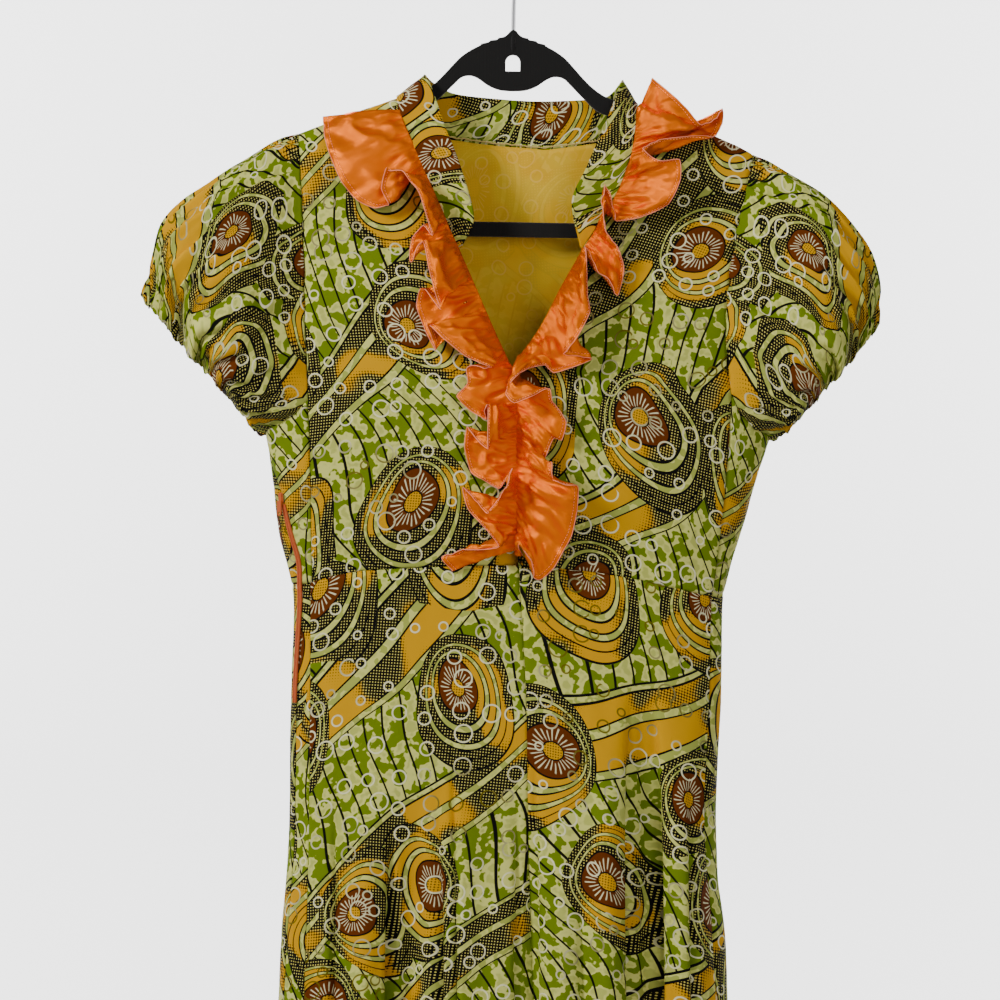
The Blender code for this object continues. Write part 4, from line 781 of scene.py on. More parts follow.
def build_sleeve(side, settings, finishes):
    """Puffed sleeve, gathered at the armhole and by elastic at its hem."""
    points, out, along, round_turn = sleeve_grid(side)
    lap = stacked(np.cos(2 * pi * round_turn) * NOISE_ROUND, np.sin(2 * pi * round_turn) * NOISE_ROUND,
                  along * NOISE_ALONG)
    drift, crush, uneven, wander = (lattice(lap * np.array([row.round, row.round, row.along]), row.seed)
                                    for row in SLEEVE_NOISES.values())
    drift = drift * DRIFT
    crush = np.abs(crush) - 0.3
    uneven = LEAST_GATHER + MORE_GATHER * np.abs(uneven)
    fine_turn = 2 * pi * FINE_WAVES * round_turn + FINE_DRIFT * drift
    broad_turn = 2 * pi * BROAD_WAVES * round_turn + BROAD_DRIFT * drift + BROAD_LEAN * along
    # how far each kind of gather reaches along the sleeve
    head = ease(along / 0.1) * ease((0.42 - along) / 0.3)
    hem = ease((along - 0.6) / 0.3)
    upper = ease((np.cos(2 * pi * round_turn) + 0.75) / 0.9)
    fine_head = upper * ease((0.5 - along) / 0.45)
    fine_hem = uneven * ease((along - 0.25) / 0.6)
    broad = (1.4 - 0.6 * uneven) * ease((along - 0.15) / 0.5)
    gather = (HEAD_GATHER_DEPTH * head + HEM_GATHER_DEPTH * hem) * np.cos(2 * pi * HEAD_WAVES * round_turn)
    gather = gather + settings.gather_depth * (
        np.cos(fine_turn) * (FINE_HEAD_GATHER * fine_head + FINE_HEM_GATHER * fine_hem)
        + np.cos(broad_turn) * BROAD_GATHER * broad)
    gather += BLOUSING * drift * ease(along / 0.2) + CRUSH * crush * ease(along / 0.3)
    gather -= ELASTIC_GROOVE * np.exp(-((along - ELASTIC_AT) / ELASTIC_HALF) ** 2)
    ahead = unit(np.gradient(points, axis=0))
    reach = (HEM_REACH * wander - HEM_REACH_BACK) * ease((along - 0.6) / 0.4)
    points = points + out * gather[..., None] + ahead * reach[..., None]
    cloth = laid_flat(points)
    cloth[..., 0] = cloth[PRINT_ROW, :, 0]
    cloth[..., 0] -= FINE_SQUEEZE * fine_hem * np.sin(fine_turn)
    cloth[..., 0] -= BROAD_SQUEEZE * ease((along - 0.25) / 0.6) * np.sin(broad_turn)
    cloth += np.array(SLEEVE_CUT)
    if side == "left":
        points, cloth = points[:, ::-1], cloth[:, ::-1]
    return add_mesh(f"sleeve_{side}_cloth", [Piece(points, cloth)], finishes["print"], settings.cotton_wall)


def build_sleeves(settings, finishes):
    return {f"sleeve_{side}": build_sleeve(side, settings, finishes) for side in SIDES}


# ---------------------------------------------------------------- collar
COLLAR_FINE = 12           # columns between two nodes of the neck
COLLAR_ROWS = 17
COLLAR_CUT = (83.0, 29.0)
COLLAR_WAVE = 0.35
COLLAR_WAVE_SIZE = 14.0
COLLAR_EDGE_ROUND = 0.5    # how far the stand is drawn in at its seam and its free edge
NEATENING_SHIFT = np.array([0.0, -2.6, -0.6])
NEATENING_START = 4.0      # it runs round the neck where the seam lies this far behind the hanger's plane
NEATENING_WANDER = 0.7
NEATENING_RADIUS = 0.55
NEATENING_PITCH = 1.7


def build_collar(settings, finishes):
    """Stand collar round the neck, its free edge turned over, and the neatened seam inside it."""
    left, right = ([on_front(node) for node in V_FRONT[side][COLLAR_START:-1]] + [shoulder_places(side)[-1]]
                   for side in SIDES)
    seam = np.array(left + [on_back(node) for node in NECK_BACK[1:-1]] + right[::-1])
    spots = np.linspace(0, len(seam) - 1, (len(seam) - 1) * COLLAR_FINE + 1)
    low = between(body(seam[:, 0], seam[:, 1]), spots)
    high = stacked(*(curve(spots) for curve in curves(COLLAR_FREE_EDGE, None, Free._fields).values()))
    up = np.linspace(0, 1, COLLAR_ROWS)[:, None, None]
    points = mix(low[None], high[None], up)
    wave = (COLLAR_WAVE * lattice(points / COLLAR_WAVE_SIZE, 301)
            - COLLAR_EDGE_ROUND * (1 - ease(up[..., 0] * 8) + ease(up[..., 0] * 12 - 11)))
    points = points + normals_of(points) * wave[..., None]
    cloth = laid_flat(points) + np.array(COLLAR_CUT)
    made = add_mesh("collar_cloth", [Piece(points, cloth)], finishes["print"], COLLAR_WALL)
    behind = low[low[:, 1] > NEATENING_START] + NEATENING_SHIFT
    behind[:, 2] += NEATENING_WANDER * lattice(stacked(behind[:, 0] / 3.0, 0.0), 311)
    forward = np.array([0.0, -1.0, 0.0])
    cord = tube("neck_neatened_edge", behind, NEATENING_RADIUS, finishes["neatening"])
    over = dashes("neck_neatening", behind + forward / 2.0, 0 * behind + forward, NEATENING_PITCH,
                  finishes["neatening"], width=1.1, gap=0.4)
    return made, [cord, over]


# ---------------------------------------------------------------- ruffles
# Depths of the satin's drift, crushed creases, rays, gathers and curled edge, in mm.
SATIN_DRIFT, SATIN_CRUSH, SATIN_RAYS, SATIN_GATHERS, SATIN_CURL = 1.8, 5.4, 1.5, 1.1, 1.6
RUFFLE_FINE = 8            # columns between two rows of the free edge's table
RUFFLE_ROWS = 41
RUFFLE_CROWD = 1.25        # crowds the rows at the sewn edge
# Noises over a strip: pitch along the free edge in mm, slant and change across, and number of the seed.
StripNoise = namedtuple("StripNoise", "pitch slant drop number")
SATIN_NOISES = {
    "drift": StripNoise(26.0, 0.0, 1.5, 0),
    "broad": StripNoise(17.0, 1.4, 2.6, 3),
    "sharp": StripNoise(8.0, -1.2, 4.0, 4),
    "rays": StripNoise(7.0, 1.2, 1.1, 1),
    "curl": StripNoise(12.0, 0.0, 0.0, 2),
}
RUFFLE_SEEDS = {"left": 401, "right": 431}
SEWN_BESIDE_EDGE = 0.8     # the strip's path lies this far outside the opening's edge
TUCK_PAST_EDGE = 1.6       # and its first row reaches this far back over it


def ruffle_path(side):
    """Points a millimetre apart down the sewn edge: down the V, then down the centre front."""
    way = -1.0 if side == "left" else 1.0
    heights = np.arange(V_FRONT[side][-1].height - RUFFLE_START_DROP, RUFFLE_FOOT, -0.05)
    edge = np.where(heights > V_FRONT[side][0].height, V_EDGE[side](heights) + way * SEWN_BESIDE_EDGE,
                    RUFFLE_CENTRE[side])
    line = stacked(way * np.maximum(way * edge, way * RUFFLE_CENTRE[side]), heights)
    run = arc_lengths(line, 0)
    return along_line(np.arange(0.0, run[-1], 1.0), run, line)


def ruffle_tuck(side, sewn):
    """How far the sewn edge reaches in: past the opening's edge, or to the centre front below it."""
    below = V_FRONT[side][0].height - sewn[:, 1]
    return mix(TUCK_PAST_EDGE, np.abs(sewn[:, 0] - CENTRE(sewn[:, 1])) - 0.1, ease(below / 8.0 + 0.5))


def build_ruffle(side, settings, finishes):
    """Gathered satin strip, folded back on itself, with its bound edge and its row of stitches."""
    path = ruffle_path(side)
    rows = smooth_rows(FREE_EDGE[side], RUFFLE_FINE, CORNER_ROUNDNESS)
    along = np.clip(rows[:, 0], 0.0, len(path) - 1.001)
    sewn = along_line(along, np.arange(len(path)), path)
    share = np.linspace(0, 1, RUFFLE_ROWS)[:, None] ** RUFFLE_CROWD
    flat = mix(sewn[None], rows[None, :, 1:3], share[..., None])
    lift = RUFFLE_STAND_OFF + rows[:, 3] * (1.0 - (1.0 - share) ** RUFFLE_ROUND)
    inward = -1.0 if side == "right" else 1.0
    flat[..., 0] += inward * ruffle_tuck(side, sewn) * (1.0 - share) ** 6
    depth = front_depth(flat[..., 0], flat[..., 1]) + lift
    points = stacked(flat[..., 0], -depth, flat[..., 1])
    edge_run = arc_lengths(points[-1:], 1)[0]
    cloth = stacked(edge_run, RUFFLE_WIDTH * share)

    drift, broad, sharp, rays, curl = (
        lattice(stacked(edge_run / row.pitch + row.slant * share, row.drop * share),
                RUFFLE_SEEDS[side] + row.number) for row in SATIN_NOISES.values())
    crush = np.abs(broad) + 0.5 * np.abs(sharp) - 0.5
    gathers = np.sin(2 * pi * rows[:, 0] / settings.ruffle_gather + 3.0 * drift) * np.exp(-5.5 * share)
    curl = ease(share * 6.0 - 5.0) * curl
    offset = (SATIN_DRIFT * drift * ease(share * 1.6)
              + SATIN_CRUSH * crush * ease(share * 5.0) * (1.0 - 0.3 * share)
              + SATIN_RAYS * rays * ease(share * 4.0) + SATIN_GATHERS * gathers * ease(share * 20.0)
              + SATIN_CURL * curl)
    points = points + normals_of(points) * offset[..., None] * settings.ruffle_crease
    if side == "left":
        points, cloth = points[:, ::-1], cloth[:, ::-1]
    out = normals_of(points)
    wall = settings.satin_wall
    thread = finishes["edge_thread"]
    strip = add_mesh(f"ruffle_{side}_cloth", [Piece(points, cloth)], finishes["satin"], wall)
    hem = tube(f"ruffle_{side}_hem", points[-1] - out[-1] * wall / 2.0, HEM_THREAD, thread)
    stitches = [dashes(f"ruffle_{side}_stitches_{face}", points[-3] + out[-3] * lift, way * out[-3],
                       STITCH_PITCH, thread)
                for face, way, lift in (("out", 1.0, 0.0), ("in", -1.0, -wall))]
    return strip, [hem] + stitches


# ---------------------------------------------------------------- sewing and zip
def tube(name, line, radius, finish, sides=6):
    """Thin round thread along a line."""
    ahead = unit(np.gradient(line, axis=0))
    side = unit(np.cross(ahead, np.array([0.0, 1.0, 0.0])))
    up = np.cross(side, ahead)
    turns = np.linspace(0, 2 * pi, sides + 1)[:, None]
    rings = line[:, None] + radius * (side[:, None] * np.cos(turns) + up[:, None] * np.sin(turns))
    return add_mesh(name, [Piece(rings, stacked(0.0, arc_lengths(rings, 0)))], finish)


# A stitch from end to end: (share of its length, height over the cloth).
STITCH_RISE = ((0.0, -0.1), (0.25, 0.3), (0.75, 0.3), (1.0, -0.1))
STITCH_BULGE = 0.12


def dashes(name, line, outward, pitch, finish, width=0.5, gap=0.35):
    """Row of short stitches along a line: small raised dashes on the cloth."""
    run = arc_lengths(line, 0)
    count = max(1, int(run[-1] / pitch))
    starts = np.arange(count) * run[-1] / count
    length = pitch * (1.0 - gap)
    first, second = along_line(starts, run, line), along_line(starts + length, run, line)
    out = along_line(starts + length / 2.0, run, outward)
    side = unit(np.cross(second - first, out)) * width / 2.0
    pieces = []
    for number in range(count):
        rows = []
        for share, lift in STITCH_RISE:
            middle = mix(first[number], second[number], share) + out[number] * lift
            rows.append([middle - side[number], middle + out[number] * STITCH_BULGE, middle + side[number]])
        rows = np.array(rows)
        pieces.append(Piece(rows, rows[..., [0, 2]]))
    return add_mesh(name, pieces, finish)


# Sections of a tape's edge and of a tooth: (place across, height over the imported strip).
TAPE_SECTION = ((0.25, 0.1), (0.5, 0.55), (1.1, 0.5), (1.9, 0.25), (2.3, -0.9))
TOOTH_SECTION = ((-0.55, 0.0), (-0.4, 0.5), (0.0, 0.7), (0.4, 0.5), (0.55, 0.0))
# A tooth from end to end: (place up the zip, height against its middle's).
TOOTH_RISE = ((-0.42, 0.2), (0.0, 1.0), (0.42, 0.2))
TOOTH_SINK = 0.1
UP = np.array([0.0, 0.0, 1.0])
ZIP_SPOTS = 160


def zip_frame(height):
    """Outer points of the zip's seam at heights, with the ways round and out of the cloth."""
    angle = side_seam_angle("left")(height)
    points = body(angle, height)
    round_cloth = unit(body(angle - 0.01, height) - body(angle + 0.01, height))
    out = unit(np.cross(np.gradient(points, axis=0), round_cloth))
    return points, round_cloth, out * np.where(out[:, :1] < 0, 1.0, -1.0)


def build_zip(settings, finishes):
    """Two tape edges, with the coil's teeth between them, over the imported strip."""
    points, round_cloth, out = zip_frame(np.linspace(ZIP_TOP, ZIP_FOOT, ZIP_SPOTS))
    strip = ZIP_STAND_OFF + ZIP_THICKNESS
    made = []
    for side, way in (("front", -1), ("back", 1)):
        rows = np.array([points + round_cloth * way * across + out * (strip + lift)
                         for across, lift in TAPE_SECTION])[::way]
        piece = Piece(rows, laid_flat(rows))
        made.append(add_mesh(f"zip_edge_{side}", [piece], finishes["zip_cloth"], TAPE_WALL))
    teeth = []
    for height in np.arange(ZIP_FOOT + 2, ZIP_TOP - 1, TOOTH_PITCH):
        spot = int(round((ZIP_TOP - height) / (ZIP_TOP - ZIP_FOOT) * (ZIP_SPOTS - 1)))
        base = points[spot] + out[spot] * (strip - TOOTH_SINK)
        base[2] = height
        rows = np.array([[base + round_cloth[spot] * across + out[spot] * lift * bulge + UP * rise
                          for across, lift in TOOTH_SECTION] for rise, bulge in TOOTH_RISE])
        teeth.append(Piece(rows, rows[..., [0, 2]]))
    return made + [add_mesh("zip_teeth", teeth, finishes["zip_coil"])]


# ---------------------------------------------------------------- hanger
def build_hanger(finishes):
    """Flocked hanger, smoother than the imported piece, with the rib over the hook's shank."""
    outline = bpy.data.curves.new("hanger_outline", "CURVE")
    outline.dimensions = "2D"
    outline.fill_mode = "BOTH"
    outline.extrude = (HANGER_THICKNESS / 2.0 - HANGER_EDGE_ROUND) * MM
    outline.bevel_depth = HANGER_EDGE_ROUND * MM
    outline.bevel_resolution = 3
    outline.offset = -HANGER_EDGE_ROUND * MM
    outer = smooth_rows(NUB + tuple(row for row in ARM_TOP if row.x > NUB_END) + ARM_END[:-1], 4)
    half = WINDOW_WIDTH / 2.0
    arch = [(half * sin(turn), WINDOW_TOP - half + half * cos(turn)) for turn in np.linspace(0, pi / 2, 12)]
    for rows in (np.concatenate([outer, [ARM_END[-1]]]), smooth_rows(ARM_INSIDE, 5),
                 np.array(arch + [(half, WINDOW_FOOT), (0.0, WINDOW_FOOT)])):
        rows = np.concatenate([rows, rows[-2:0:-1] * np.array([-1.0, 1.0])]) * MM
        spline = outline.splines.new("POLY")
        spline.points.add(len(rows) - 1)
        for spot, (x, height) in zip(spline.points, rows):
            spot.co = (x, height, 0.0, 1.0)
        spline.use_cyclic_u = True
    guide = add_object("hanger_guide", outline)
    mesh = bpy.data.meshes.new_from_object(guide.evaluated_get(bpy.context.evaluated_depsgraph_get()))
    bpy.data.objects.remove(guide)
    bpy.data.curves.remove(outline)
    mesh.transform(Matrix.Rotation(HANGER_TILT, 4, "Y") @ Matrix.Rotation(pi / 2.0, 4, "X"))
    mesh.materials.clear()
    mesh.materials.append(finishes["flock"])
    made = add_object("hanger_flocked", mesh)
    heights = np.linspace(RIB_TOP, WINDOW_TOP + 3.0, 12)
    front = RIB_REST - HANGER_THICKNESS / 2.0 - RIB_SWELL * np.sin(np.linspace(0, pi, len(heights)))
    rib = stacked(heights * sin(HANGER_TILT), front, heights)
    return made, tube("hanger_shank_rib", rib, RIB_RADIUS, finishes["flock"], 12)


# ---------------------------------------------------------------- finishes
class Signal:
    """Output of a material's node, which can be reckoned with like a number."""

    def __init__(self, paint, socket):
        self.paint = paint
        self.socket = socket

    def __add__(self, other):
        return self.paint.sums("ADD", self, other)

    def __sub__(self, other):
        return self.paint.sums("SUBTRACT", self, other)

    def __mul__(self, other):
        return self.paint.sums("MULTIPLY", self, other)

    def __truediv__(self, other):
        return self.paint.sums("DIVIDE", self, other)


class Paint:
    """Builds a material's nodes. Extra values go to the shader's own sockets, by their names."""

    def __init__(self, name, roughness, colour, metallic=0.0, extra=None):
        self.material = bpy.data.materials.new(name)
        self.material.use_nodes = True
        self.material.diffuse_color = (*colour, 1.0)
        self.tree = self.material.node_tree
        self.surface = self.tree.nodes["Principled BSDF"]
        self.surface.inputs["Roughness"].default_value = roughness
        self.surface.inputs["Metallic"].default_value = metallic
        self.surface.inputs["Base Color"].default_value = (*colour, 1.0)
        for socket, value in (extra or {}).items():
            self.surface.inputs[socket].default_value = value

    def feed(self, socket, value):
        if isinstance(value, Signal):
            self.tree.links.new(value.socket, socket)
        else:
            socket.default_value = value

    def add(self, kind, inputs, output=0, **options):
        """New node of a kind, with its options and inputs. Gives one of its outputs, or several."""
        node = self.tree.nodes.new(kind)
        for name, value in options.items():
            setattr(node, name, value)
        for socket, value in inputs.items():
            self.feed(node.inputs[socket], value)
        if isinstance(output, tuple):
            return [Signal(self, node.outputs[each]) for each in output]
        return Signal(self, node.outputs[output])

    def sums(self, kind, *values):
        return self.add("ShaderNodeMath", dict(enumerate(values)), operation=kind)

    def vector_sums(self, kind, *values):
        return self.add("ShaderNodeVectorMath", dict(enumerate(values)), operation=kind)

    def step(self, value, low, high):
        """0 below low and 1 above high."""
        return self.add("ShaderNodeMapRange", {"Value": value, "From Min": low, "From Max": high}, "Result",
                        interpolation_type="SMOOTHSTEP")

    def band(self, value, middle, half, soft):
        """1 within half of the middle."""
        return self.step(self.sums("ABSOLUTE", value - middle), half + soft, half - soft)

    def ramp(self, value, stops):
        """Two amounts for a value from 0 to 1, each from a stop until the next."""
        node = self.tree.nodes.new("ShaderNodeValToRGB")
        self.feed(node.inputs[0], value)
        node.color_ramp.interpolation = "CONSTANT"
        elements = node.color_ramp.elements
        while len(elements) < len(stops):
            elements.new(0.5)
        for element, (spot, first, second) in zip(elements, stops):
            element.position = spot
            element.color = (first, second, 0.0, 1.0)
        return self.split(Signal(self, node.outputs[0]))

    def cloth(self):
        return self.add("ShaderNodeUVMap", {}, uv_map="cloth")

    def place(self):
        """Place on the piece itself, for pieces that have no cloth places."""
        return self.add("ShaderNodeTexCoord", {}, "Object")

    def moved(self, vector, scale=1.0, shift=(0.0, 0.0, 0.0)):
        scale = (scale,) * 3 if isinstance(scale, float) else scale
        return self.add("ShaderNodeMapping", {"Vector": vector, "Scale": scale, "Location": shift})

    def split(self, vector):
        return self.add("ShaderNodeSeparateXYZ", {0: vector}, (0, 1))

    def noise(self, vector, scale, detail=2.0, output="Fac", roughness=0.5):
        inputs = {"Vector": vector, "Scale": scale, "Detail": detail, "Roughness": roughness}
        return self.add("ShaderNodeTexNoise", inputs, output, noise_dimensions="2D")

    def cells(self, vector, scale, randomness, outputs):
        inputs = {"Vector": vector, "Scale": scale, "Randomness": randomness}
        return self.add("ShaderNodeTexVoronoi", inputs, outputs, voronoi_dimensions="2D", feature="F1")

    def over(self, below, above, amount):
        """One colour over another."""
        below, above = ((*value, 1.0) if isinstance(value, tuple) else value for value in (below, above))
        return self.add("ShaderNodeMix", {0: amount, 6: below, 7: above}, 2, data_type="RGBA")

    def bump(self, height, depth):
        self.feed(self.surface.inputs["Normal"],
                  self.add("ShaderNodeBump", {"Distance": depth, "Height": height}))

    def colour(self, value):
        self.feed(self.surface.inputs["Base Color"], value)

    def weave(self, pitch, depth):
        """Fine woven threads."""
        across, along = self.split(self.moved(self.cloth(), 2.0 * pi / pitch))
        self.bump(self.sums("SINE", across) * self.sums("SINE", along), depth)


def tone(red, green, blue):
    """Colour from its screen values, 0 to 255."""
    return tuple(((value / 255.0 + 0.055) / 1.055) ** 2.4 if value > 10 else value / 255.0 / 12.92
                 for value in (red, green, blue))


# The print's sizes are metres on the flat cloth, and its noises' scales are blots in a metre.
BEND_SCALE = 6.0
BEND_REACH = 0.056
BLOT_SCALE = 104.0
TINGE_SCALE = 24.0
SHADE_SCALE = 15.0
FAN_SCALE = 3.2
STRIP_SCALE = 2.4
FADE_SCALE = 7.0
LINES_ACROSS, LINES_ALONG, LINES_FAN = 62.0, 26.0, 6.0
STRIPS_ACROSS, STRIPS_ALONG, STRIPS_BEND = 4.0, 5.2, 1.3
STRIP_END = 0.359          # netted strips fill this share of the way from one to the next
NET_PITCH = 0.0023
HEART_NET_PITCH = 0.0021
NET_TURN = 0.12
ROSETTE_GAP = 0.122
ROSETTE_TALL = (1.16, 0.92, 1.0)
ROSETTE_RADIUS = 0.0205
HALO_REACH = 0.050
HALO_DRIFT = 0.56          # how far a halo's circles move off as they grow, against their radius
HEART_RADIUS = 0.0062
BUBBLE_GAP = 0.0225
BUBBLE_RADIUS, BUBBLE_SPREAD = 0.0030, 0.0042
# Bands, as (where it starts, ink, yellow). Where both are 0 the marbled ground shows.
HALO_BANDS = ((0.0, 0, 1), (0.51, 1, 0), (0.535, 0, 0), (0.59, 1, 0), (0.615, 0, 1), (0.70, 1, 0),
              (0.72, 0, 0), (0.77, 1, 0), (0.79, 0, 1), (0.87, 1, 0), (0.885, 0, 1), (0.975, 1, 0))
STRIP_BANDS = ((0.0, 1, 0), (0.009, 0, 0), (0.035, 1, 0), (0.044, 0, 1), (0.135, 1, 0), (0.144, 0, 0),
               (0.178, 1, 0), (0.187, 0, 1), (0.31, 1, 0), (0.319, 0, 0), (0.35, 1, 0), (STRIP_END, 0, 0))


def net(paint, cloth, pitch, shade):
    """Printed net on a turned square mesh: none at shade 0, and little but net at shade 1."""
    turned = paint.add("ShaderNodeVectorRotate", {"Vector": cloth, "Angle": NET_TURN},
                       rotation_type="Z_AXIS")
    across, along = paint.split(paint.moved(turned, 1.0 / pitch))
    beside = paint.sums("FRACT", across) - 0.5
    above = paint.sums("FRACT", along) - 0.5
    away = paint.sums("SQRT", beside * beside + above * above)
    return paint.step(away + shade * 0.51, 0.70, 0.78)


def paint_print(paint, settings):
    """Wax print: marbled ground with thin lines, netted strips, and rosettes in off-centre halos."""
    green, cream, ink, yellow, brown, ring = (tuple(getattr(settings, "print_" + name)) for name in (
        "green", "cream", "ink", "yellow", "brown", "ring"))
    flat = paint.moved(paint.cloth(), 1.0 / settings.print_size)
    bend = paint.moved(paint.noise(flat, BEND_SCALE, 1.0, "Color"), BEND_REACH,
                       (-BEND_REACH / 2, -BEND_REACH / 2, 0.0))
    bent = paint.vector_sums("ADD", flat, bend)
    across, along = paint.split(bent)
    tint = paint.noise(bent, SHADE_SCALE, 1.0)

    def banded(colour, within, shade, black, gold):
        """Lays bands of pale ground, netted yellow and ink over a colour."""
        netted = paint.over(paint.over(yellow, cream, paint.step(shade, 0.6, 1.0) * 0.75), ink,
                            net(paint, flat, NET_PITCH, shade))
        return paint.over(paint.over(paint.over(colour, pale, within), netted, gold), ink, black)

    # marbled ground: green blots on cream, crossed by thin lines
    blot = paint.noise(flat, BLOT_SCALE, 1.8, roughness=0.45)
    tinge = paint.noise(flat, TINGE_SCALE, 1.0)
    ground = paint.over(cream, green, paint.step(blot + tinge * 0.25, 0.605, 0.645))
    ground = paint.over(ground, green, paint.step(blot, 0.42, 0.30) * 0.35)
    pale = paint.over(ground, cream, 0.45)
    fan = paint.noise(bent, FAN_SCALE, 0.5)
    lines = paint.sums("FRACT", across * LINES_ACROSS + along * LINES_ALONG + fan * LINES_FAN)
    colour = paint.over(ground, ink, paint.band(lines, 0.5, 0.058, 0.012))
    strip = paint.sums("FRACT", across * STRIPS_ACROSS - along * STRIPS_ALONG
                       + paint.noise(bent, STRIP_SCALE, 0.4) * STRIPS_BEND)
    within = paint.step(strip, STRIP_END + 0.001, STRIP_END - 0.001)
    colour = banded(colour, within, paint.step(tint, 0.38, 0.55), *paint.ramp(strip, STRIP_BANDS))
    # rosettes, each with its own heading for the halo's circles to move off along
    tall = paint.moved(bent, ROSETTE_TALL)
    home, place, random = paint.cells(tall, 1.0 / ROSETTE_GAP, 0.5, ("Distance", "Position", "Color"))
    away = home * ROSETTE_GAP
    beside, above = paint.split(paint.vector_sums("SUBTRACT", tall, place))
    first, _ = paint.split(random)
    heading = first * 3.4 - 3.3
    toward, upward = paint.sums("COSINE", heading), paint.sums("SINE", heading)
    shift = HALO_DRIFT * ROSETTE_RADIUS
    shifted_x, shifted_y = beside + toward * shift, above + upward * shift
    dot = shifted_x * toward + shifted_y * upward
    square = shifted_x * shifted_x + shifted_y * shifted_y
    keep = 1.0 - HALO_DRIFT ** 2
    circle = (paint.sums("SQRT", dot * dot * HALO_DRIFT ** 2 + square * keep) - dot * HALO_DRIFT) / keep
    reach = circle / HALO_REACH
    dark = paint.step(reach, 0.72, 0.92) * 0.16
    shade = paint.sums("MAXIMUM", paint.step(tint + dark, 0.42, 0.60), paint.step(dot, 0.010, -0.012))
    within = paint.step(reach, 1.0, 0.998)
    colour = banded(colour, within, shade, *(amount * within for amount in paint.ramp(reach, HALO_BANDS)))
    turn = paint.sums("ARCTAN2", above, beside)
    petal = away + paint.sums("COSINE", turn * 3.0 + first * 6.0) * 0.0007
    colour = paint.over(colour, ink, paint.step(petal, ROSETTE_RADIUS + 0.0004, ROSETTE_RADIUS))
    colour = paint.over(colour, brown, paint.step(petal, ROSETTE_RADIUS - 0.0009, ROSETTE_RADIUS - 0.0013))
    spokes = paint.step(paint.sums("COSINE", turn * 27.0 + away * 120.0), 0.50, 0.72)
    tips = paint.band(away + paint.sums("COSINE", turn * 7.0) * 0.0016, 0.0118, 0.0040, 0.0008)
    colour = paint.over(colour, ring, spokes * tips * 0.85)
    colour = paint.over(colour, ink, paint.step(away, HEART_RADIUS + 0.0012, HEART_RADIUS + 0.0008))
    heart = paint.over(yellow, ink, net(paint, flat, HEART_NET_PITCH, 0.45))
    colour = paint.over(colour, heart, paint.step(away, HEART_RADIUS + 0.0002, HEART_RADIUS - 0.0002))
    # wax bubbles over everything
    bubble, chance = paint.cells(flat, 1.0 / BUBBLE_GAP, 0.8, ("Distance", "Color"))
    size, chosen = paint.split(chance)
    edge = paint.sums("ABSOLUTE", bubble * BUBBLE_GAP - (size * BUBBLE_SPREAD + BUBBLE_RADIUS))
    faded = paint.step(paint.noise(flat, FADE_SCALE, 1.0), 0.30, 0.50)
    bright = paint.over(paint.over(brown, green, 0.4), ring, faded)
    shown = paint.step(edge, 0.00085, 0.0005) * paint.step(chosen, 0.12, 0.14) * 0.92
    return paint.over(colour, bright, shown)


def make_finishes(settings):
    """Every finish, by its short name."""
    cotton = Paint("wax_print_cloth", 0.8, settings.print_green, extra={"Specular IOR Level": 0.12})
    cotton.colour(paint_print(cotton, settings))
    cotton.weave(0.0007, 0.00010)
    satin = Paint("orange_satin", 0.27, settings.satin_colour, 0.65,
                  {"Anisotropic": 0.5, "Specular Tint": (*tone(255, 170, 60), 1.0)})
    satin.weave(0.0005, 0.00003)
    voile = Paint("mustard_voile", 0.85, settings.lining_colour)
    cloudy = voile.step(voile.noise(voile.cloth(), 30.0, 2.0), 0.35, 0.65)
    ground = voile.over(tuple(settings.lining_colour), tone(252, 204, 40), cloudy)
    voile.colour(voile.over(ground, paint_print(voile, settings), 0.10))
    voile.weave(0.0012, 0.00015)
    edge = Paint("edge_thread", 0.6, settings.edge_colour)
    edge.weave(0.0008, 0.0002)
    flock = Paint("black_flock", 0.95, settings.hanger_colour,
                  extra={"Sheen Weight": 0.25, "Specular IOR Level": 0.2})
    flock.bump(flock.noise(flock.place(), 2600.0, 2.0), 0.0003)
    tape = Paint("zip_cloth", 0.75, settings.zip_colour)
    tape.weave(0.0008, 0.0001)
    paints = {
        "print": cotton, "satin": satin, "voile": voile, "edge_thread": edge, "flock": flock,
        "zip_cloth": tape,
        "neatening": Paint("neatening_thread", 0.8, tone(206, 178, 104)),
        "steel": Paint("hook_steel", 0.28, tone(196, 196, 198), 1.0),
        "zip_coil": Paint("zip_coil", 0.45, tone(190, 80, 30)),
        "enamel": Paint("zip_enamel", 0.35, tone(198, 92, 40), extra={"Coat Weight": 0.4}),
    }
    return {name: paint.material for name, paint in paints.items()}


# ---------------------------------------------------------------- settings
def size_setting(name, description, default, low, high):
    """A length in mm."""
    return bpy.props.FloatProperty(name=name, description=description + ", in mm", default=default,
                                   min=low, max=high, precision=2)


def share_setting(name, description, high, low=0.0):
    """A share of the usual amount."""
    return bpy.props.FloatProperty(name=name, description=description + ", as a share of the usual one",
                                   default=1.0, min=low, max=high, subtype="FACTOR")


def colour_setting(name, description, *default):
    return bpy.props.FloatVectorProperty(name=name, description=description, default=tone(*default),
                                         min=0.0, max=1.0, size=3, subtype="COLOR")


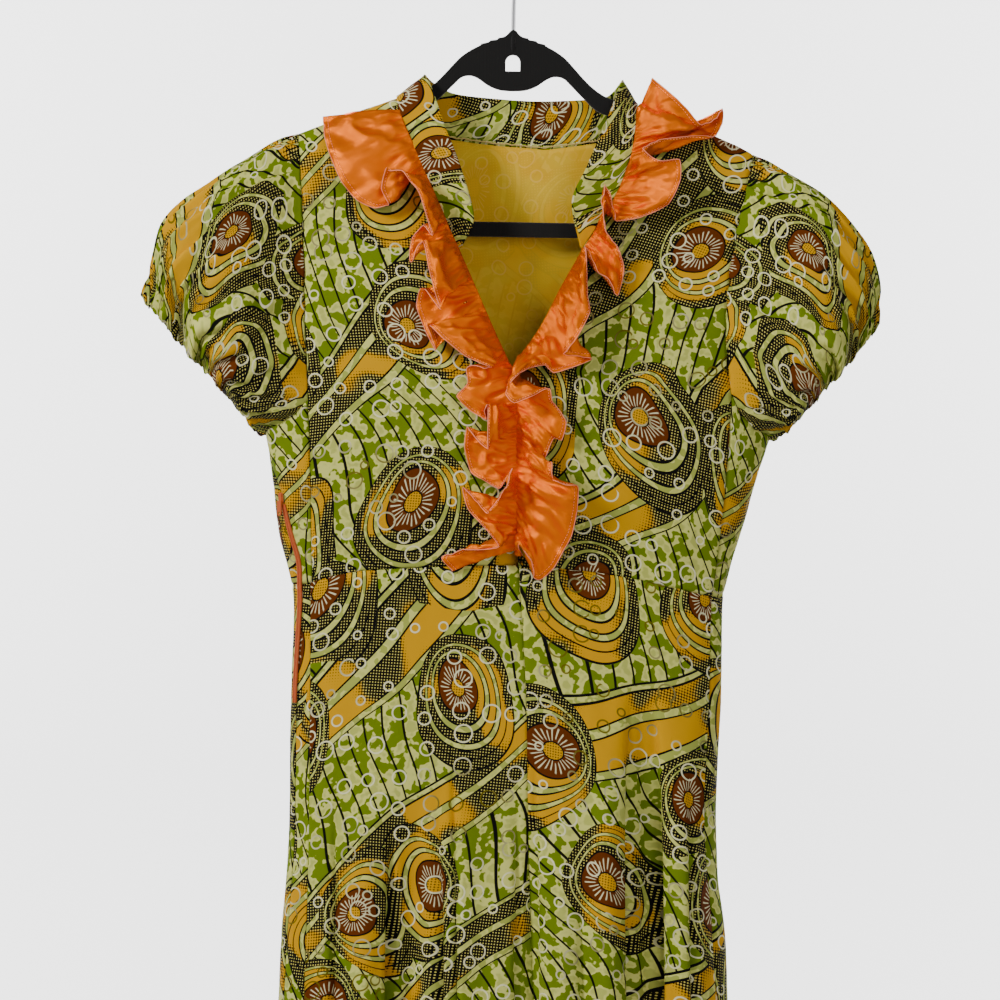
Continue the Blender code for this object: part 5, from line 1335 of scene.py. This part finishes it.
class DressSettings(bpy.types.PropertyGroup):
    """What can be changed before the pieces are built."""

    cotton_wall: size_setting("Cotton wall", "Thickness of the printed cotton", 0.8, 0.2, 1.5)
    satin_wall: size_setting("Satin wall", "Thickness of the ruffles' satin", 0.4, 0.1, 1.0)
    crease_depth: size_setting("Crease depth", "Depth of the cotton's soft creases", 0.9, 0.0, 4.0)
    fold_depth: share_setting("Skirt folds", "Depth of the skirt's sharp creases", 2.0)
    pucker_depth: size_setting("Seam pucker", "Depth of the small puckers beside the seams", 0.28, 0.0, 1.0)
    seam_depth: size_setting("Seam groove", "How far the cloth is drawn in at its seams", 0.9, 0.0, 2.0)
    gather_depth: size_setting("Sleeve gathers", "Depth of the sleeves' fine gathers", 1.0, 0.0, 3.0)
    ruffle_gather: size_setting("Ruffle gathers", "Spacing of the gathers at the sewn edge", 5.2, 2.0, 15.0)
    ruffle_crease: share_setting("Ruffle creases", "Depth of the satin's creases", 2.0)
    print_size: share_setting("Print size", "Size of the printed pattern", 3.0, 0.3)
    print_green: colour_setting("Print green", "Blots on the print's ground", 112, 134, 0)
    print_cream: colour_setting("Print cream", "Ground between the blots", 226, 226, 122)
    print_ink: colour_setting("Print ink", "Lines and nets", 6, 5, 3)
    print_yellow: colour_setting("Print yellow", "Netted bands", 224, 164, 0)
    print_brown: colour_setting("Print brown", "Rosettes", 104, 48, 0)
    print_ring: colour_setting("Print bubbles", "Bubble rings and the rosettes' strokes", 252, 246, 196)
    satin_colour: colour_setting("Satin", "Ruffles", 246, 116, 0)
    edge_colour: colour_setting("Edge thread", "Bound edge and stitches of the ruffles", 255, 150, 118)
    lining_colour: colour_setting("Lining", "Thin layer inside the back", 248, 190, 8)
    hanger_colour: colour_setting("Hanger", "Flocking on the hanger", 22, 21, 20)
    zip_colour: colour_setting("Zip tape", "Cloth of the side zip", 200, 90, 34)


FINISHES = {}


def finish_table():
    if not FINISHES:
        FINISHES.update(make_finishes(bpy.context.scene.dress_settings))
    return FINISHES


def hang(made, node):
    """Puts a cloth piece on the dress's body and hides the imported node whose place it takes."""
    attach(made, "dress")
    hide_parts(node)


def hang_all(context, build):
    """Builds some cloth pieces and hangs each."""
    for node, made in build(context.scene.dress_settings, finish_table()).items():
        hang(made, node)
    return {"FINISHED"}


def trim(made, body_name="dress"):
    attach(made, body_name)


def refinish(node, finish):
    """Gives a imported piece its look."""
    piece = bpy.data.objects[node]
    piece.data.materials.clear()
    piece.data.materials.append(finish)


# ---------------------------------------------------------------- operators
class DRESS_OT_bodice(bpy.types.Operator):
    """Build the bodice's front, sides and back"""

    bl_idname = "dress.bodice"
    bl_label = "Bodice"

    def execute(self, context):
        return hang_all(context, build_bodice)


class DRESS_OT_skirt(bpy.types.Operator):
    """Build the skirt's five panels"""

    bl_idname = "dress.skirt"
    bl_label = "Skirt"

    def execute(self, context):
        return hang_all(context, build_skirt)


class DRESS_OT_lining(bpy.types.Operator):
    """Build the thin layer inside the back"""

    bl_idname = "dress.lining"
    bl_label = "Lining"

    def execute(self, context):
        return hang_all(context, build_lining)


class DRESS_OT_sleeves(bpy.types.Operator):
    """Build both puffed sleeves"""

    bl_idname = "dress.sleeves"
    bl_label = "Sleeves"

    def execute(self, context):
        return hang_all(context, build_sleeves)


class DRESS_OT_collar(bpy.types.Operator):
    """Build the stand collar and its neatened edge"""

    bl_idname = "dress.collar"
    bl_label = "Collar"

    def execute(self, context):
        made, threads = build_collar(context.scene.dress_settings, finish_table())
        for thread in threads:
            trim(thread)
        hang(made, "collar_stand")
        return {"FINISHED"}


class DRESS_OT_ruffles(bpy.types.Operator):
    """Build the gathered satin strips and their rolled hems"""

    bl_idname = "dress.ruffles"
    bl_label = "Ruffles"

    def execute(self, context):
        for side in SIDES:
            strip, threads = build_ruffle(side, context.scene.dress_settings, finish_table())
            for thread in threads:
                trim(thread)
            hang(strip, f"ruffle_{side}")
        return {"FINISHED"}


class DRESS_OT_zip(bpy.types.Operator):
    """Build the side zip's tape edges and teeth, and finish its slider"""

    bl_idname = "dress.zip"
    bl_label = "Zip"

    def execute(self, context):
        finishes = finish_table()
        for made in build_zip(context.scene.dress_settings, finishes):
            trim(made)
        for node, finish in (("zip_tape", "zip_cloth"), ("zip_slider", "enamel"), ("zip_pull", "enamel")):
            refinish(node, finishes[finish])
        return {"FINISHED"}


class DRESS_OT_hanger(bpy.types.Operator):
    """Build the hanger with its rib, and finish its hook"""

    bl_idname = "dress.hanger"
    bl_label = "Hanger"

    def execute(self, context):
        finishes = finish_table()
        made, rib = build_hanger(finishes)
        trim(made)
        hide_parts("hanger")
        trim(rib)
        refinish("hanger_hook", finishes["steel"])
        return {"FINISHED"}


# The stage, in metres, degrees and watts: a floor that turns up into a wall, lights and camera.
FLOOR_HEIGHT = -1.95
FLOOR_FRONT = -5.0
FLOOR_BACK = 4.5
WALL_TURN = 1.0
WALL_TOP = 4.0
STAGE_HALF_WIDTH = 9.0
WORLD_STRENGTH = 0.32
Lamp = namedtuple("Lamp", "name place turn size power")
LAMPS = (
    Lamp("key_light", (-1.9, -1.5, 0.7), (64, 0, -52), 0.6, 54.0),
    Lamp("fill_light", (0.9, -2.4, 0.1), (78, 0, 20), 1.2, 16.0),
    Lamp("back_light", (-0.4, 2.4, 1.3), (-62, 0, -10), 1.2, 30.0),
    Lamp("backdrop_light_left", (-3.4, 3.0, 0.4), (90, 0, -50), 2.0, 560.0),
    Lamp("backdrop_light_right", (3.4, 3.0, 0.4), (90, 0, 50), 2.0, 560.0),
)
CAMERA_PLACE = (-0.012, -4.412, -0.4578)
CAMERA_DISTANCE = 4.4      # to the dress's front, where the view is VIEW_WIDTH wide
VIEW_WIDTH = 0.8
SENSOR = 36.0


def build_backdrop():
    """Pale floor and wall. It throws no light of its own on the dress."""
    line = [(FLOOR_FRONT, FLOOR_HEIGHT), (FLOOR_BACK, FLOOR_HEIGHT)]
    line += [(FLOOR_BACK + WALL_TURN * sin(turn), FLOOR_HEIGHT + WALL_TURN * (1.0 - cos(turn)))
             for turn in np.linspace(0.1, pi / 2, 16)]
    line += [(FLOOR_BACK + WALL_TURN, WALL_TOP)]
    corners = [(x, y, z) for y, z in line for x in (-STAGE_HALF_WIDTH, STAGE_HALF_WIDTH)]
    faces = [(2 * n, 2 * n + 1, 2 * n + 3, 2 * n + 2) for n in range(len(line) - 1)]
    mesh = bpy.data.meshes.new("backdrop")
    mesh.from_pydata(corners, [], faces)
    mesh.shade_smooth()
    mesh.materials.append(Paint("pale_backdrop", 0.9, (0.9, 0.9, 0.9)).material)
    backdrop = add_object("backdrop", mesh)
    backdrop.visible_diffuse = False
    return backdrop


class DRESS_OT_stage(bpy.types.Operator):
    """Build the pale floor, backdrop, lights and camera"""

    bl_idname = "dress.stage"
    bl_label = "Stage"

    def execute(self, context):
        scene = context.scene
        backdrop = build_backdrop()
        world = bpy.data.worlds.new("studio")
        world.use_nodes = True
        background = world.node_tree.nodes["Background"]
        background.inputs["Color"].default_value = (1.0, 1.0, 1.0, 1.0)
        background.inputs["Strength"].default_value = WORLD_STRENGTH
        scene.world = world
        for row in LAMPS:
            light = bpy.data.lights.new(row.name, "AREA")
            light.size = row.size
            light.energy = row.power
            lamp = add_object(row.name, light)
            lamp.location = row.place
            lamp.rotation_euler = [radians(value) for value in row.turn]
        camera = bpy.data.cameras.new("camera")
        camera.sensor_width = SENSOR
        camera.lens = SENSOR * CAMERA_DISTANCE / VIEW_WIDTH
        eye = add_object("camera", camera)
        eye.location = CAMERA_PLACE
        eye.rotation_euler = (pi / 2.0, 0.0, 0.0)
        scene.camera = eye
        return {"FINISHED"}


class DRESS_PT_panel(bpy.types.Panel):
    """The dress's settings and its pieces"""

    bl_idname = "DRESS_PT_panel"
    bl_label = "Dress"
    bl_space_type = "VIEW_3D"
    bl_region_type = "UI"
    bl_category = "Dress"

    def draw(self, context):
        for name in DressSettings.__annotations__:
            self.layout.prop(context.scene.dress_settings, name)
        for operator in OPERATORS:
            self.layout.operator(operator.bl_idname)


OPERATORS = (DRESS_OT_bodice, DRESS_OT_skirt, DRESS_OT_lining, DRESS_OT_sleeves, DRESS_OT_collar,
             DRESS_OT_ruffles, DRESS_OT_zip, DRESS_OT_hanger, DRESS_OT_stage)
CLASSES = (DressSettings, *OPERATORS, DRESS_PT_panel)


def register():
    for made in CLASSES:
        bpy.utils.register_class(made)
    bpy.types.Scene.dress_settings = bpy.props.PointerProperty(type=DressSettings)


def unregister():
    del bpy.types.Scene.dress_settings
    for made in reversed(CLASSES):
        bpy.utils.unregister_class(made)


def main():
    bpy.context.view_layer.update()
    register()
    bpy.ops.dress.hanger()
    bpy.ops.dress.bodice()
    bpy.ops.dress.skirt()
    bpy.ops.dress.lining()
    bpy.ops.dress.sleeves()
    bpy.ops.dress.collar()
    bpy.ops.dress.ruffles()
    bpy.ops.dress.zip()
    bpy.ops.dress.stage()


if __name__ == "__main__":
    main()
